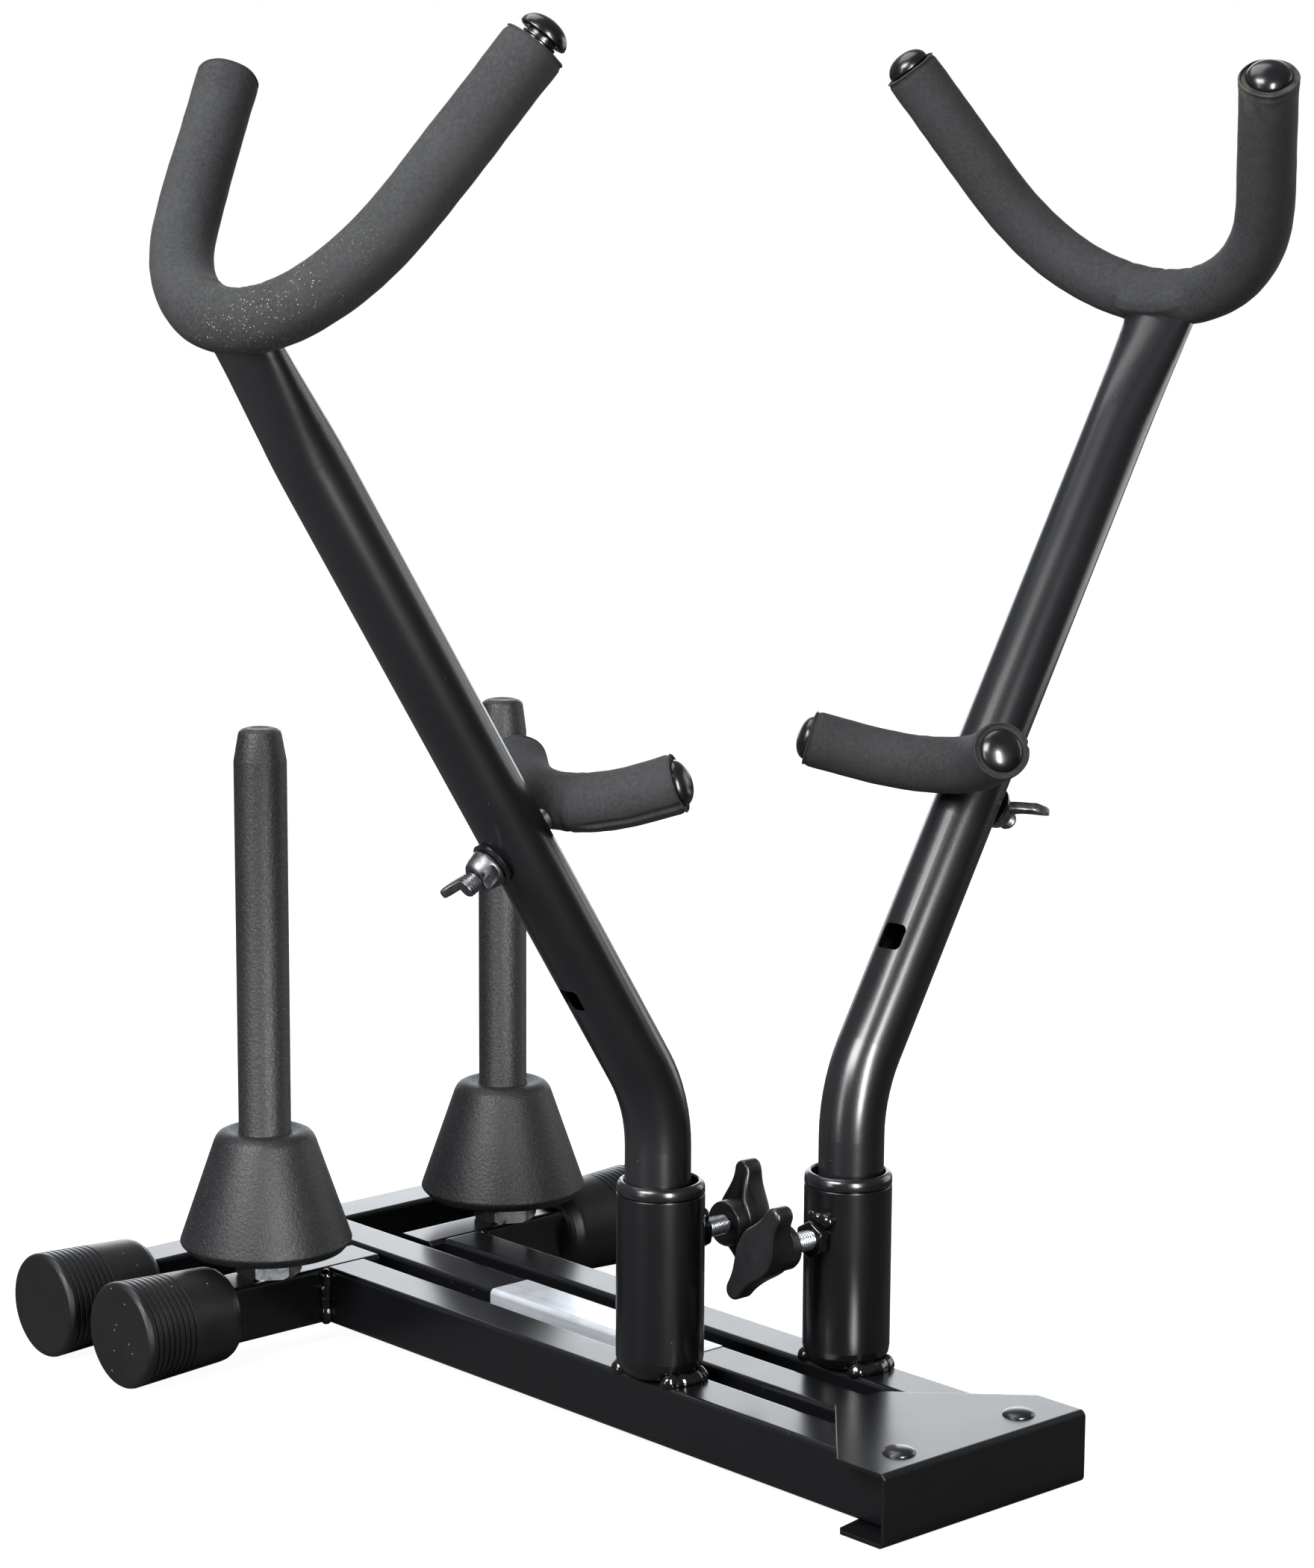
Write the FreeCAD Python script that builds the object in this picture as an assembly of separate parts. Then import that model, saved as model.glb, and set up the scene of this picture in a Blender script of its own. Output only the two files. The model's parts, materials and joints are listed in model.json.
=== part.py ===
import FreeCAD, Part
import os
from math import asin, atan2, cos, degrees, hypot, pi, radians, sin, sqrt

# Folding floor stand for two saxophones, with two pegs for a clarinet or flute.
#
# The parts are laid out in a rail frame: X across the rails, Y along them from the end
# bracket to the crossbar, Z square to the rails, origin under the middle of the bracket.
# The feet are taller than the bracket, so the finished stand slopes down to the bracket:
# place() turns everything so that the feet and the bracket's front edge meet Z = 0, and
# moves the origin to the middle of the footprint. "left" is -X and "right" is +X.

# ---------------------------------------------------------------- driving dimensions, mm
WALL = 1.5                      # steel tube wall
FIT = 0.05                      # radial running clearance
GAP = 0.3                       # clearance between pieces that move past each other

RAIL_W = 21.0                   # rectangular tube, width
RAIL_H = 24.0                   # rectangular tube, height
RAIL_CORNER = 2.0               # outside corner radius of the tube
RAIL_Z = 1.8                    # underside of the rails
RAIL_X = 31.8                   # outer rails and their pivots, either side of the middle
RAIL_TOP = RAIL_Z + RAIL_H
RAIL_MID = RAIL_Z + RAIL_H / 2

SHEET = 1.5                     # bracket sheet
BRACKET_HALF = 53.5             # half width of the bracket's front wall
BRACKET_H = 27.9
BRACKET_SIDE = 24.0             # straight side of each plate
BRACKET_NOSE = 12.2             # half width of the top plate's inner edge
BRACKET_DEPTH = 66.3            # reach of the top plate
BRACKET_BEND = 2.5              # outside radius of the sheet bends
PIVOT_Y = 14.0
PIVOT_R = 4.0
RIVET_HEAD_R = 6.2
RIVET_HEAD_H = 2.2
RAIL_NOSE = 6.1                 # rail end ahead of its pivot: it meets the wall past 45 degrees

LEG_Y = 338.6                   # front face of the two legs
LEG_INNER = 14.0                # inner end of each leg, a stop beside the centre rail
CROSSBAR_Y = 397.9              # front face of the crossbar
FOOT_FACE_X = 140.0             # outer face of the feet on the legs
REAR_FOOT_FACE_X = 138.0        # outer face of the feet on the crossbar

FOOT_R = 22.0
FOOT_REAR_R = 19.6
FOOT_LEN = 51.0
FOOT_EDGE = 2.2                 # rounding of the outer face's rim
FOOT_REAR_ROUND = 7.0
FOOT_DEPTH = 44.0               # how far the tube enters the rubber
GROOVES = 8
GROOVE_FIRST = 4.6
GROOVE_PITCH = 2.7
GROOVE_R = 0.45
SEAM_TURN = 45                  # keeps the moulded cap's parting line off the tube's faces

SOCKET_R = 17.0
SOCKET_TOP = 98.0
SOCKET_Y = {"left": 142.2, "right": 104.7}      # staggered so that the two knobs pass
SOCKET_ROUND = 8.0              # rounding of the closed lower end
COLLAR_DEPTH = 13.5
COLLAR_LIP_H = 4.8
CLAMP_Z = 79.0                  # axis of the clamp knob

ARM_R = 12.7
ARM_LEAN = 31.9                 # degrees from upright, away from the middle
ARM_SPLAY = 3.2                 # degrees the lean turns towards the crossbar
ARM_OFFSET = 1.5                # upright part's axis, outwards of the socket's axis
ARM_BEND_Z = 134.0              # where the upright and leaning axes would cross
ARM_BEND_R = 62.0
ARM_LEAN_LEN = 350.2            # along the leaning axis, from the crossing to the fork
ARM_FLAT_LEN = 62.0             # upper end pressed to an oval under the fork
ARM_FLAT_WIDE = 16.0
ARM_FLAT_THIN = 9.0
BOLT_STATION = {"left": 126.3, "right": 128.1}      # yoke bolt, along the leaning axis
SPARE_STATION = 60.2            # second yoke position
SPARE_HOLE = 10.6               # square hole for the bolt's square neck

FORK_TUBE_R = 8.0
FORK_FOAM_R = 11.3
FORK_CAP_R = 8.9
FORK_CAP_H = 5.6
# The two forks were bent and welded by hand and differ a little. sweep is the degrees of
# bend each side of the arm, prong the straight parts (bracket end, crossbar end), tilt the
# degrees that the prongs lean back over the middle, yaw and roll the weld's small turns.
FORK = {
    "left": {"bend_r": 66.0, "sweep": (71.2, 69.7), "prong": (68.1, 63.0),
             "tilt": 35.0, "yaw": 2.8, "roll": 0.2},
    "right": {"bend_r": 73.5, "sweep": (67.3, 69.2), "prong": (60.5, 64.3),
              "tilt": 31.9, "yaw": -5.7, "roll": 3.3},
}

YOKE_TUBE_R = 7.0
YOKE_FOAM_R = 10.95
YOKE_STANDOFF = 23.8            # yoke axis to arm axis
YOKE_CAP_R = 8.7
YOKE_CAP_H = 5.4
# the bolt lets each yoke sit slightly turned: pitch about the fork's width, yaw about the
# arm and roll about the bolt, in degrees
YOKE = {
    "left": {"bend_r": 53.6, "sweep": (40.0, 40.4), "prong": (12.1, 11.5),
             "pitch": 4.1, "yaw": 4.8, "roll": 1.3},
    "right": {"bend_r": 54.4, "sweep": (37.5, 39.8), "prong": (14.0, 16.7),
              "pitch": -3.2, "yaw": -0.2, "roll": 4.6},
}
CAP_PLUG = 14.0                 # how far the domed caps reach into the tubes
# where each cap's dome sits past the foam's cut end: a negative seat is sunk in the foam
FORK_CAP_SEAT = {"left": (3.2, -6.5), "right": (-1.4, 0.3)}
YOKE_CAP_SEAT = {"left": (-1.0, -2.5), "right": (-2.4, -0.8)}
FORK_TRIM = (7.0, 7.0)          # the tubes stop short of the foam's ends
YOKE_TRIM = (4.0, 4.0)
BEYOND = (-1.0, -1.0)           # carries a cutting bar past both ends

BOLT_R = 3.9
BOLT_HEAD_R = 6.4
WASHER_R = 9.0
WASHER_H = 1.6
BOLT_END = 28.0                 # threaded end, from the arm axis
WING_BASE_R = 7.6
WING_TOP_R = 5.6
WING_H = 7.6
WING_SPAN = 17.5
WING_RISE = 14.0
WING_T = 4.0
WING_TURN = {"left": -18.0, "right": -21.0}     # degrees of the wings from square to the arm

KNOB_STUD_R = 3.9
STUD_TIP = 12.1                 # stud's end, from the socket's axis: clear of the arm in every turn
KNOB_HUB_START = 15.9           # hub's rear face, from the socket's outer wall
KNOB_HUB_R = 9.0
KNOB_LEN = 19.0
KNOB_WING_R = 23.4
KNOB_WING_T = 6.0
KNOB_TURN = {"left": 3.0, "right": -33.0}       # degrees of the wings from upright at rest
NUT_AF = 13.0
NUT_H = 4.2

PEG_X = 64.5
PEG_ROD_R = {"left": 10.9, "right": 10.4}       # the left peg is the stouter one
PEG_TIP_R = 8.6
PEG_BASE_Z = 36.4
PEG_BAND_Z = 40.6
PEG_BASE_R = 33.3
PEG_RIM_R = 35.8
PEG_CONE_Z = 87.3
PEG_CONE_R = 19.6
PEG_TAPER_Z = 242.6
PEG_TOP_Z = 256.0
PEG_NUT_AF = 24.0
PEG_SPIGOT_R = 7.8

LABEL_T = 0.25
LABEL_Y = (150.5, 269.0)
LABEL_DROP = 6.5                # how far the label wraps down the rail's side

UP = FreeCAD.Vector(0, 0, 1)


def V(x, y, z):
    return FreeCAD.Vector(x, y, z)


# ---------------------------------------------------------------- basic solids
def box(x0, x1, y0, y1, z0, z1):
    return Part.makeBox(x1 - x0, y1 - y0, z1 - z0, V(x0, y0, z0))


def rounded_rect(width, height, radius):
    """Closed wire in the XY plane, centred on the origin."""
    w = width / 2
    h = height / 2
    k = radius * (1 - cos(pi / 4))
    corners = [(w, h, 1, 1), (-w, h, -1, 1), (-w, -h, -1, -1), (w, -h, 1, -1)]
    arcs = []
    for i, (x, y, sx, sy) in enumerate(corners):
        on_side = V(x, y - sy * radius, 0)
        on_top = V(x - sx * radius, y, 0)
        middle = V(x - sx * k, y - sy * k, 0)
        ends = (on_side, on_top) if i % 2 == 0 else (on_top, on_side)
        arcs.append((ends[0], middle, ends[1]))
    edges = []
    for i, (start, middle, end) in enumerate(arcs):
        edges.append(Part.Arc(start, middle, end).toShape())
        edges.append(Part.makeLine(end, arcs[(i + 1) % 4][0]))
    return Part.Wire(edges)


def rail_tube(length, hollow=True):
    """Rectangular tube along +Y from the origin, its underside on Z = 0."""
    solid = Part.Face(rounded_rect(RAIL_W, RAIL_H, RAIL_CORNER)).extrude(V(0, 0, length))
    if hollow:
        inner = rounded_rect(RAIL_W - 2 * WALL, RAIL_H - 2 * WALL, RAIL_CORNER - WALL / 2)
        solid = solid.cut(Part.Face(inner).extrude(V(0, 0, length)))
    solid.rotate(V(0, 0, 0), V(1, 0, 0), -90)
    solid.translate(V(0, 0, RAIL_H / 2))
    return solid


def rail_along_y(x, y0, y1):
    tube = rail_tube(y1 - y0)
    tube.translate(V(x, y0, RAIL_Z))
    return tube


def rail_along_x(x0, x1, y_front, z=RAIL_Z, hollow=True):
    tube = rail_tube(x1 - x0, hollow)
    tube.rotate(V(0, 0, 0), UP, -90)
    tube.translate(V(x0, y_front + RAIL_W / 2, z))
    return tube


def revolve(profile, origin, axis, turn=360):
    """Solid of revolution: profile is (distance along the axis, radius) pairs."""
    points = [V(r, 0, s) for s, r in profile]
    face = Part.Face(Part.makePolygon(points + [points[0]]))
    solid = face.revolve(V(0, 0, 0), UP, turn)
    solid.Placement = FreeCAD.Placement(origin, FreeCAD.Rotation(UP, axis))
    return solid


def round_profile(s0, r0, s1, r1, steps=6):
    """Quarter-ellipse between two profile corners, leaving (s0, r0) along the axis."""
    points = []
    for i in range(1, steps + 1):
        t = i / steps * pi / 2
        points.append((s0 + (s1 - s0) * sin(t), r1 + (r0 - r1) * cos(t)))
    return points


def dome_profile(radius, height, base=0):
    """Profile of a dome whose flat side stands at base."""
    return [(base, radius)] + round_profile(base, radius, base + height, 0, 8)


def hex_prism(across_flats, height, origin, axis, turn=0):
    points = []
    for i in range(7):
        a = radians(60 * i + turn)
        points.append(V(across_flats / sqrt(3) * cos(a), across_flats / sqrt(3) * sin(a), 0))
    solid = Part.Face(Part.makePolygon(points)).extrude(V(0, 0, height))
    solid.Placement = FreeCAD.Placement(origin, FreeCAD.Rotation(UP, axis))
    return solid


def pipe(wire_edges, start, tangent, radius):
    """Round bar of that radius swept along the edges."""
    section = Part.Wire(Part.makeCircle(radius, start, tangent))
    return Part.Wire(wire_edges).makePipeShell([section], True, True)


def weld_bead(centres, radius):
    """Lumpy run of overlapping drops."""
    bead = Part.makeSphere(radius, centres[0])
    for centre in centres[1:]:
        bead = bead.fuse(Part.makeSphere(radius, centre))
    return bead


# ---------------------------------------------------------------- stance on the floor
LEG_MID_Y = LEG_Y + RAIL_W / 2
CROSSBAR_MID_Y = CROSSBAR_Y + RAIL_W / 2
STANCE = degrees(asin(FOOT_R / hypot(LEG_MID_Y, RAIL_MID)) - atan2(RAIL_MID, LEG_MID_Y))
MIDDLE_Y = 214.7                # middle of the footprint after the turn
# the crossbar hangs low enough for its feet to touch the same floor as the legs' feet
CROSSBAR_DROP = (CROSSBAR_MID_Y - LEG_MID_Y) * sin(radians(STANCE)) / cos(radians(STANCE))


def place(shape):
    placed = shape.copy()
    placed.rotate(V(0, 0, 0), V(1, 0, 0), STANCE)
    placed.translate(V(0, -MIDDLE_Y, 0))
    return placed


def export(name, shape):
    place(shape).exportStep(os.path.join("parts", name + ".step"))


# ---------------------------------------------------------------- base: bracket and centre
def bracket_plate(points, z0, z1):
    outline = [V(x, y, z0) for x, y in points]
    return Part.Face(Part.makePolygon(outline + [outline[0]])).extrude(V(0, 0, z1 - z0))


def end_bracket():
    half = BRACKET_HALF
    side = BRACKET_SIDE
    top = [(-half, 0), (half, 0), (half, side), (BRACKET_NOSE, BRACKET_DEPTH)]
    top += [(-BRACKET_NOSE, BRACKET_DEPTH), (-half, side)]
    bottom = [(-half, 0), (half, 0), (half, side - 2), (half - 2, side)]
    bottom += [(half - 18, side + 2.6), (18 - half, side + 2.6), (2 - half, side), (-half, side - 2)]
    body = bracket_plate(top, BRACKET_H - SHEET, BRACKET_H)
    body = body.fuse(bracket_plate(bottom, 0, SHEET))
    body = body.fuse(box(-half, half, 0, SHEET, 0, BRACKET_H)).removeSplitter()
    bends = [e for e in body.Edges if abs(e.CenterOfMass.y) < 1e-6 and abs(e.Length - 2 * half) < 1e-6]
    body = body.makeFillet(BRACKET_BEND, bends)
    for x in (-RAIL_X, RAIL_X):
        body = body.cut(Part.makeCylinder(PIVOT_R, BRACKET_H, V(x, PIVOT_Y, 0)))
    return body


def pivot_rivets():
    rivets = []
    for x in (-RAIL_X, RAIL_X):
        profile = [(0, 0), (0, PIVOT_R), (BRACKET_H, PIVOT_R)]
        profile += dome_profile(RIVET_HEAD_R, RIVET_HEAD_H, BRACKET_H)
        rivets.append(revolve(profile, V(x, PIVOT_Y, 0), UP))
    return Part.makeCompound(rivets)


def rail_label():
    half = RAIL_W / 2
    low = RAIL_TOP - LABEL_DROP
    outer = box(-half - LABEL_T, half - 1.2, LABEL_Y[0], LABEL_Y[1], low, RAIL_TOP + LABEL_T)
    edge = [e for e in outer.Edges if abs(e.CenterOfMass.x + half + LABEL_T) < 1e-6
            and abs(e.CenterOfMass.z - RAIL_TOP - LABEL_T) < 1e-6]
    outer = outer.makeFillet(RAIL_CORNER + LABEL_T, edge)
    rail = rail_tube(LABEL_Y[1] - LABEL_Y[0] + 4, hollow=False)
    rail.translate(V(0, LABEL_Y[0] - 2, RAIL_Z))
    return outer.cut(rail)


def base_welds():
    """Beads where the centre rail meets the crossbar."""
    beads = []
    crossbar = rail_along_x(-40, 40, CROSSBAR_Y, RAIL_Z - CROSSBAR_DROP, hollow=False)
    centre = rail_tube(60, hollow=False)
    centre.translate(V(0, CROSSBAR_Y - 60, RAIL_Z))
    for side in (-1, 1):
        x = side * (RAIL_W / 2 + 0.4)
        run = [V(x, CROSSBAR_Y - 0.3, RAIL_Z + 3 + 3.0 * i) for i in range(6)]
        beads.append(weld_bead(run, 2.2).cut(centre).cut(crossbar))
    return Part.makeCompound(beads)


# ---------------------------------------------------------------- pieces used on both sides
def foot(face_x, sign, y, z):
    """Rubber cap over a tube end, built on the right and mirrored for the left."""
    profile = [(0, 0), (0, FOOT_R - FOOT_EDGE)]
    profile += [(FOOT_EDGE * (1 - cos(t)), FOOT_R - FOOT_EDGE + FOOT_EDGE * sin(t))
                for t in (radians(22.5), radians(45), radians(67.5), radians(90))]
    slope = (FOOT_R - FOOT_REAR_R) / (FOOT_LEN - FOOT_EDGE)
    for i in range(GROOVES):
        s = GROOVE_FIRST + i * GROOVE_PITCH
        r = FOOT_R - slope * (s - FOOT_EDGE)
        profile += [(s - GROOVE_R, r), (s, r - 2 * GROOVE_R), (s + GROOVE_R, r)]
    start = FOOT_LEN - FOOT_REAR_ROUND
    shoulder = FOOT_REAR_R + slope * FOOT_REAR_ROUND
    profile.append((start, shoulder))
    profile += round_profile(start, shoulder, FOOT_LEN, FOOT_REAR_R - FOOT_REAR_ROUND)
    profile.append((FOOT_LEN, 0))
    cap = revolve(profile, V(face_x, y, z), V(-1, 0, 0))
    cap.rotate(V(0, y, z), V(1, 0, 0), SEAM_TURN)
    rear = face_x - FOOT_LEN
    bore = rail_along_x(rear - 1, rear + FOOT_DEPTH, y - RAIL_W / 2, z - RAIL_H / 2, hollow=False)
    cap = cap.cut(bore)
    return cap if sign > 0 else cap.mirror(V(0, 0, 0), V(1, 0, 0))


class Side:
    """Positions that mirror from one side of the stand to the other."""

    def __init__(self, name, sign):
        self.name = name
        self.sign = sign
        self.rail_x = sign * RAIL_X
        self.peg_x = sign * PEG_X
        self.socket = V(self.rail_x, SOCKET_Y[name], 0)
        self.inward = V(-sign, 0, 0)
        splay = radians(ARM_SPLAY)
        self.out = V(sign * cos(splay), sin(splay), 0)
        self.across = V(-sign * sin(splay), cos(splay), 0)
        lean = radians(ARM_LEAN)
        self.along = self.out * sin(lean) + UP * cos(lean)
        self.inner_normal = self.out * (-cos(lean)) + UP * sin(lean)
        self.upright = self.socket + self.out * ARM_OFFSET
        self.crossing = self.upright + UP * ARM_BEND_Z
        self.bolt_station = BOLT_STATION[name]

    def station(self, distance):
        return self.crossing + self.along * distance


def rail(side):
    tube = rail_along_y(side.rail_x, PIVOT_Y - RAIL_NOSE, LEG_Y)
    return tube.cut(Part.makeCylinder(PIVOT_R + FIT, RAIL_H + 2, V(side.rail_x, PIVOT_Y, RAIL_Z - 1)))


def leg(side):
    outer = FOOT_FACE_X - FOOT_LEN + FOOT_DEPTH
    ends = sorted((side.sign * LEG_INNER, side.sign * outer))
    return rail_along_x(ends[0], ends[1], LEG_Y)


def cup_profile(floor, radius, rounding):
    """Closed end of the socket: flat floor, rounded edge, then straight up to the mouth."""
    points = [(floor, 0), (floor, radius - rounding)]
    for t in (radians(18), radians(36), radians(54), radians(72), radians(90)):
        points.append((floor + rounding * (1 - cos(t)), radius - rounding * (1 - sin(t))))
    return points + [(SOCKET_TOP - RAIL_TOP, radius)]


def socket_core(side):
    """The socket without its bore."""
    profile = cup_profile(0, SOCKET_R, SOCKET_ROUND) + [(SOCKET_TOP - RAIL_TOP, 0)]
    return revolve(profile, side.socket + UP * RAIL_TOP, UP)


def socket(side):
    inside = cup_profile(WALL, SOCKET_R - WALL, SOCKET_ROUND - WALL)
    profile = cup_profile(0, SOCKET_R, SOCKET_ROUND) + inside[::-1]
    tube = revolve(profile, side.socket + UP * RAIL_TOP, UP)
    hole_start = side.socket + UP * CLAMP_Z
    return tube.cut(Part.makeCylinder(KNOB_STUD_R + FIT, SOCKET_R + 1, hole_start, side.inward))


def weld_nut(side):
    start = side.socket + UP * CLAMP_Z + side.inward * (SOCKET_R - 1.8)
    nut = hex_prism(NUT_AF, NUT_H + 1.8, start, side.inward)
    drum = Part.makeCylinder(SOCKET_R, 60, side.socket + UP * (CLAMP_Z - 30))
    bore = Part.makeCylinder(KNOB_STUD_R + FIT, NUT_H + 6, start - side.inward * 2, side.inward)
    profile = [(0, 0), (0, NUT_AF * 0.62), (NUT_H + 0.6, NUT_AF * 0.62)]
    profile += [(NUT_H + 1.8, NUT_AF * 0.52), (NUT_H + 1.8, 0)]
    chamfer = revolve(profile, start, side.inward)
    return nut.common(chamfer).cut(drum).cut(bore)


def frame_welds(side):
    """Beads round the socket's foot, beside the clamp nut and down the corner of the L."""
    core = socket_core(side)
    tube = rail_tube(LEG_Y - PIVOT_Y, hollow=False)
    tube.translate(V(side.rail_x, PIVOT_Y, RAIL_Z))
    beads = []
    for direction in (-1, 1):
        run = []
        for i in range(-3, 4):
            a = radians(direction * 90 + 9.5 * i)
            lift = 0.4 + 0.5 * (i % 2)
            drop = V((SOCKET_R - 1.6) * cos(a), (SOCKET_R - 1.2) * sin(a), RAIL_TOP + lift)
            run.append(side.socket + drop)
        beads.append(weld_bead(run, 3.4).cut(core).cut(tube))
    nut_edge = side.socket + UP * CLAMP_Z + side.inward * (SOCKET_R - 0.6)
    run = [nut_edge + V(0, -5.6 + 1.4 * i, 7.9 + 0.5 * (i % 2)) for i in range(6)]
    nut_start = side.socket + UP * CLAMP_Z + side.inward * (SOCKET_R - 4)
    nut_core = hex_prism(NUT_AF, 12, nut_start, side.inward)
    beads.append(weld_bead(run, 2.3).cut(core).cut(nut_core))
    corner = V(side.rail_x + side.sign * (RAIL_W / 2 + 0.4), LEG_Y - 0.4, 0)
    run = [corner + V(0, 0, RAIL_Z + 3.2 + 2.5 * i) for i in range(8)]
    ends = sorted((side.sign * LEG_INNER, side.sign * 90))
    leg_core = rail_along_x(ends[0], ends[1], LEG_Y, hollow=False)
    beads.append(weld_bead(run, 3.0).cut(tube).cut(leg_core))
    return Part.makeCompound(beads)


def peg_nut(side):
    origin = V(side.peg_x, LEG_MID_Y, RAIL_TOP)
    nut = hex_prism(PEG_NUT_AF, PEG_BASE_Z - RAIL_TOP - GAP, origin, UP, 30)
    corner = PEG_NUT_AF / sqrt(3)
    height = PEG_BASE_Z - RAIL_TOP - GAP
    profile = [(0, 0), (0, corner - 1), (1.2, corner + 0.1), (height, corner + 0.1), (height, 0)]
    trim = revolve(profile, origin, UP)
    return nut.common(trim).cut(Part.makeCylinder(PEG_SPIGOT_R + FIT, 20, origin + UP * 0.8))


def peg(side):
    """Cone and rod turned about the nut's axis, with a spigot that screws into the nut."""
    profile = [(RAIL_TOP + 1.4, 0), (RAIL_TOP + 1.4, PEG_SPIGOT_R), (PEG_BASE_Z, PEG_SPIGOT_R)]
    profile += [(PEG_BASE_Z, PEG_BASE_R - 1.5), (PEG_BASE_Z + 1.2, PEG_BASE_R)]
    profile += [(PEG_BAND_Z - 1.0, PEG_RIM_R - 0.4), (PEG_BAND_Z, PEG_RIM_R)]
    profile += [(PEG_BAND_Z + 2.0, PEG_RIM_R - 0.5), (PEG_CONE_Z - 4.0, PEG_CONE_R + 1.4)]
    profile += [(PEG_CONE_Z - 1.6, PEG_CONE_R), (PEG_CONE_Z - 0.4, PEG_CONE_R - 2.0)]
    profile += [(PEG_CONE_Z, PEG_CONE_R - 4.2), (PEG_CONE_Z - 2.6, PEG_CONE_R - 5.4)]
    rod_r = PEG_ROD_R[side.name]
    profile += [(PEG_CONE_Z - 2.6, rod_r), (PEG_TAPER_Z, rod_r), (PEG_TOP_Z - 2.0, PEG_TIP_R + 0.2)]
    profile += round_profile(PEG_TOP_Z - 2.0, PEG_TIP_R + 0.2, PEG_TOP_Z, PEG_TIP_R - 2.6, 4)
    profile += [(PEG_TOP_Z, 0)]
    return revolve(profile, V(side.peg_x, LEG_MID_Y, 0), UP)


def collar(side):
    """Flanged bush, loose on the arm: the clamp pushes the arm to the bore's outer side."""
    top = SOCKET_TOP + GAP
    lip = top + COLLAR_LIP_H
    bore = ARM_R + ARM_OFFSET + FIT
    profile = [(top - COLLAR_DEPTH, bore), (top - COLLAR_DEPTH, SOCKET_R - WALL - FIT)]
    profile += [(top, SOCKET_R - WALL - FIT), (top, SOCKET_R), (lip - 3.2, SOCKET_R)]
    profile += round_profile(lip - 3.2, SOCKET_R, lip, bore + 0.6, 6)
    profile += [(lip - 0.7, bore)]
    return revolve(profile, side.socket, UP)


# ---------------------------------------------------------------- arm, fork and yoke
def arm_path(side, radius, start, end):
    """The bent axis of the arm as a solid bar of that radius."""
    tangent = ARM_BEND_R * sin(radians(ARM_LEAN / 2)) / cos(radians(ARM_LEAN / 2))
    foot_of_bend = side.crossing - UP * tangent
    head_of_bend = side.crossing + side.along * tangent
    half = radians(ARM_LEAN / 2)
    middle = foot_of_bend + UP * (ARM_BEND_R * sin(half)) + side.out * (ARM_BEND_R * (1 - cos(half)))
    base = side.upright + UP * start
    edges = [Part.makeLine(base, foot_of_bend), Part.Arc(foot_of_bend, middle, head_of_bend).toShape()]
    edges.append(Part.makeLine(head_of_bend, side.station(end)))
    return pipe(edges, base, UP, radius)


def oval(side, distance, wide, thin):
    """Section of the arm, round or wider across the fork."""
    if wide - thin < 0.01:
        return Part.Wire(Part.makeCircle(wide, side.station(distance), side.along))
    ellipse = Part.Ellipse(V(0, 0, 0), wide, thin).toShape()
    axes = FreeCAD.Matrix()
    for row, component in enumerate("xyz"):
        values = [getattr(v, component) for v in (side.across, side.along.cross(side.across), side.along)]
        setattr(axes, "A%d1" % (row + 1), values[0])
        setattr(axes, "A%d2" % (row + 1), values[1])
        setattr(axes, "A%d3" % (row + 1), values[2])
    ellipse.Placement = FreeCAD.Placement(side.station(distance), FreeCAD.Placement(axes).Rotation)
    return Part.Wire(ellipse)


def flattened_end(side, shrink):
    start = ARM_LEAN_LEN - ARM_FLAT_LEN
    sections = []
    for i in range(5):
        t = i / 4
        ease = t * t * (3 - 2 * t)
        wide = ARM_R + (ARM_FLAT_WIDE - ARM_R) * ease - shrink
        thin = ARM_R + (ARM_FLAT_THIN - ARM_R) * ease - shrink
        sections.append(oval(side, start + t * ARM_FLAT_LEN, wide, thin))
    return Part.makeLoft(sections, True, False)


def square_hole(side, distance):
    """Square passage through both walls, along the bolt's axis."""
    half = SPARE_HOLE / 2
    hole = rounded_rect(SPARE_HOLE, SPARE_HOLE, half * 0.45)
    prism = Part.Face(hole).extrude(V(0, 0, 3 * ARM_R))
    turn = FreeCAD.Rotation(side.across, side.along, side.inner_normal, "ZXY")
    start = side.station(distance) - side.inner_normal * (1.5 * ARM_R)
    prism.Placement = FreeCAD.Placement(start, turn)
    return prism


def arm_tube(side):
    floor = RAIL_TOP + SOCKET_ROUND
    straight_end = ARM_LEAN_LEN - ARM_FLAT_LEN
    round_part = arm_path(side, ARM_R, floor, straight_end)
    round_part = round_part.cut(arm_path(side, ARM_R - WALL, floor - 1, straight_end + 1))
    flat_part = flattened_end(side, 0).cut(flattened_end(side, WALL))
    tube = round_part.fuse(flat_part).removeSplitter().cut(square_hole(side, SPARE_STATION))
    start = side.station(side.bolt_station) - side.inner_normal * 20
    tube = tube.cut(Part.makeCylinder(BOLT_R, 40, start, side.inner_normal))
    return tube.cut(fork_bend(side).bar(FORK_TUBE_R))


def turned(vector, axis, angle):
    return FreeCAD.Rotation(axis, angle).multVec(vector)


def fork_frame(side):
    """Middle of the fork's bend, its width direction and the way the prongs point."""
    shape = FORK[side.name]
    tilt = radians(shape["tilt"])
    across = turned(side.across, side.along, shape["yaw"])
    reach = turned(UP * cos(tilt) - side.out * sin(tilt), side.along, shape["yaw"])
    normal = across.cross(reach)
    roll = shape["roll"]
    return side.station(ARM_LEAN_LEN), turned(across, normal, roll), turned(reach, normal, roll)


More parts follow.
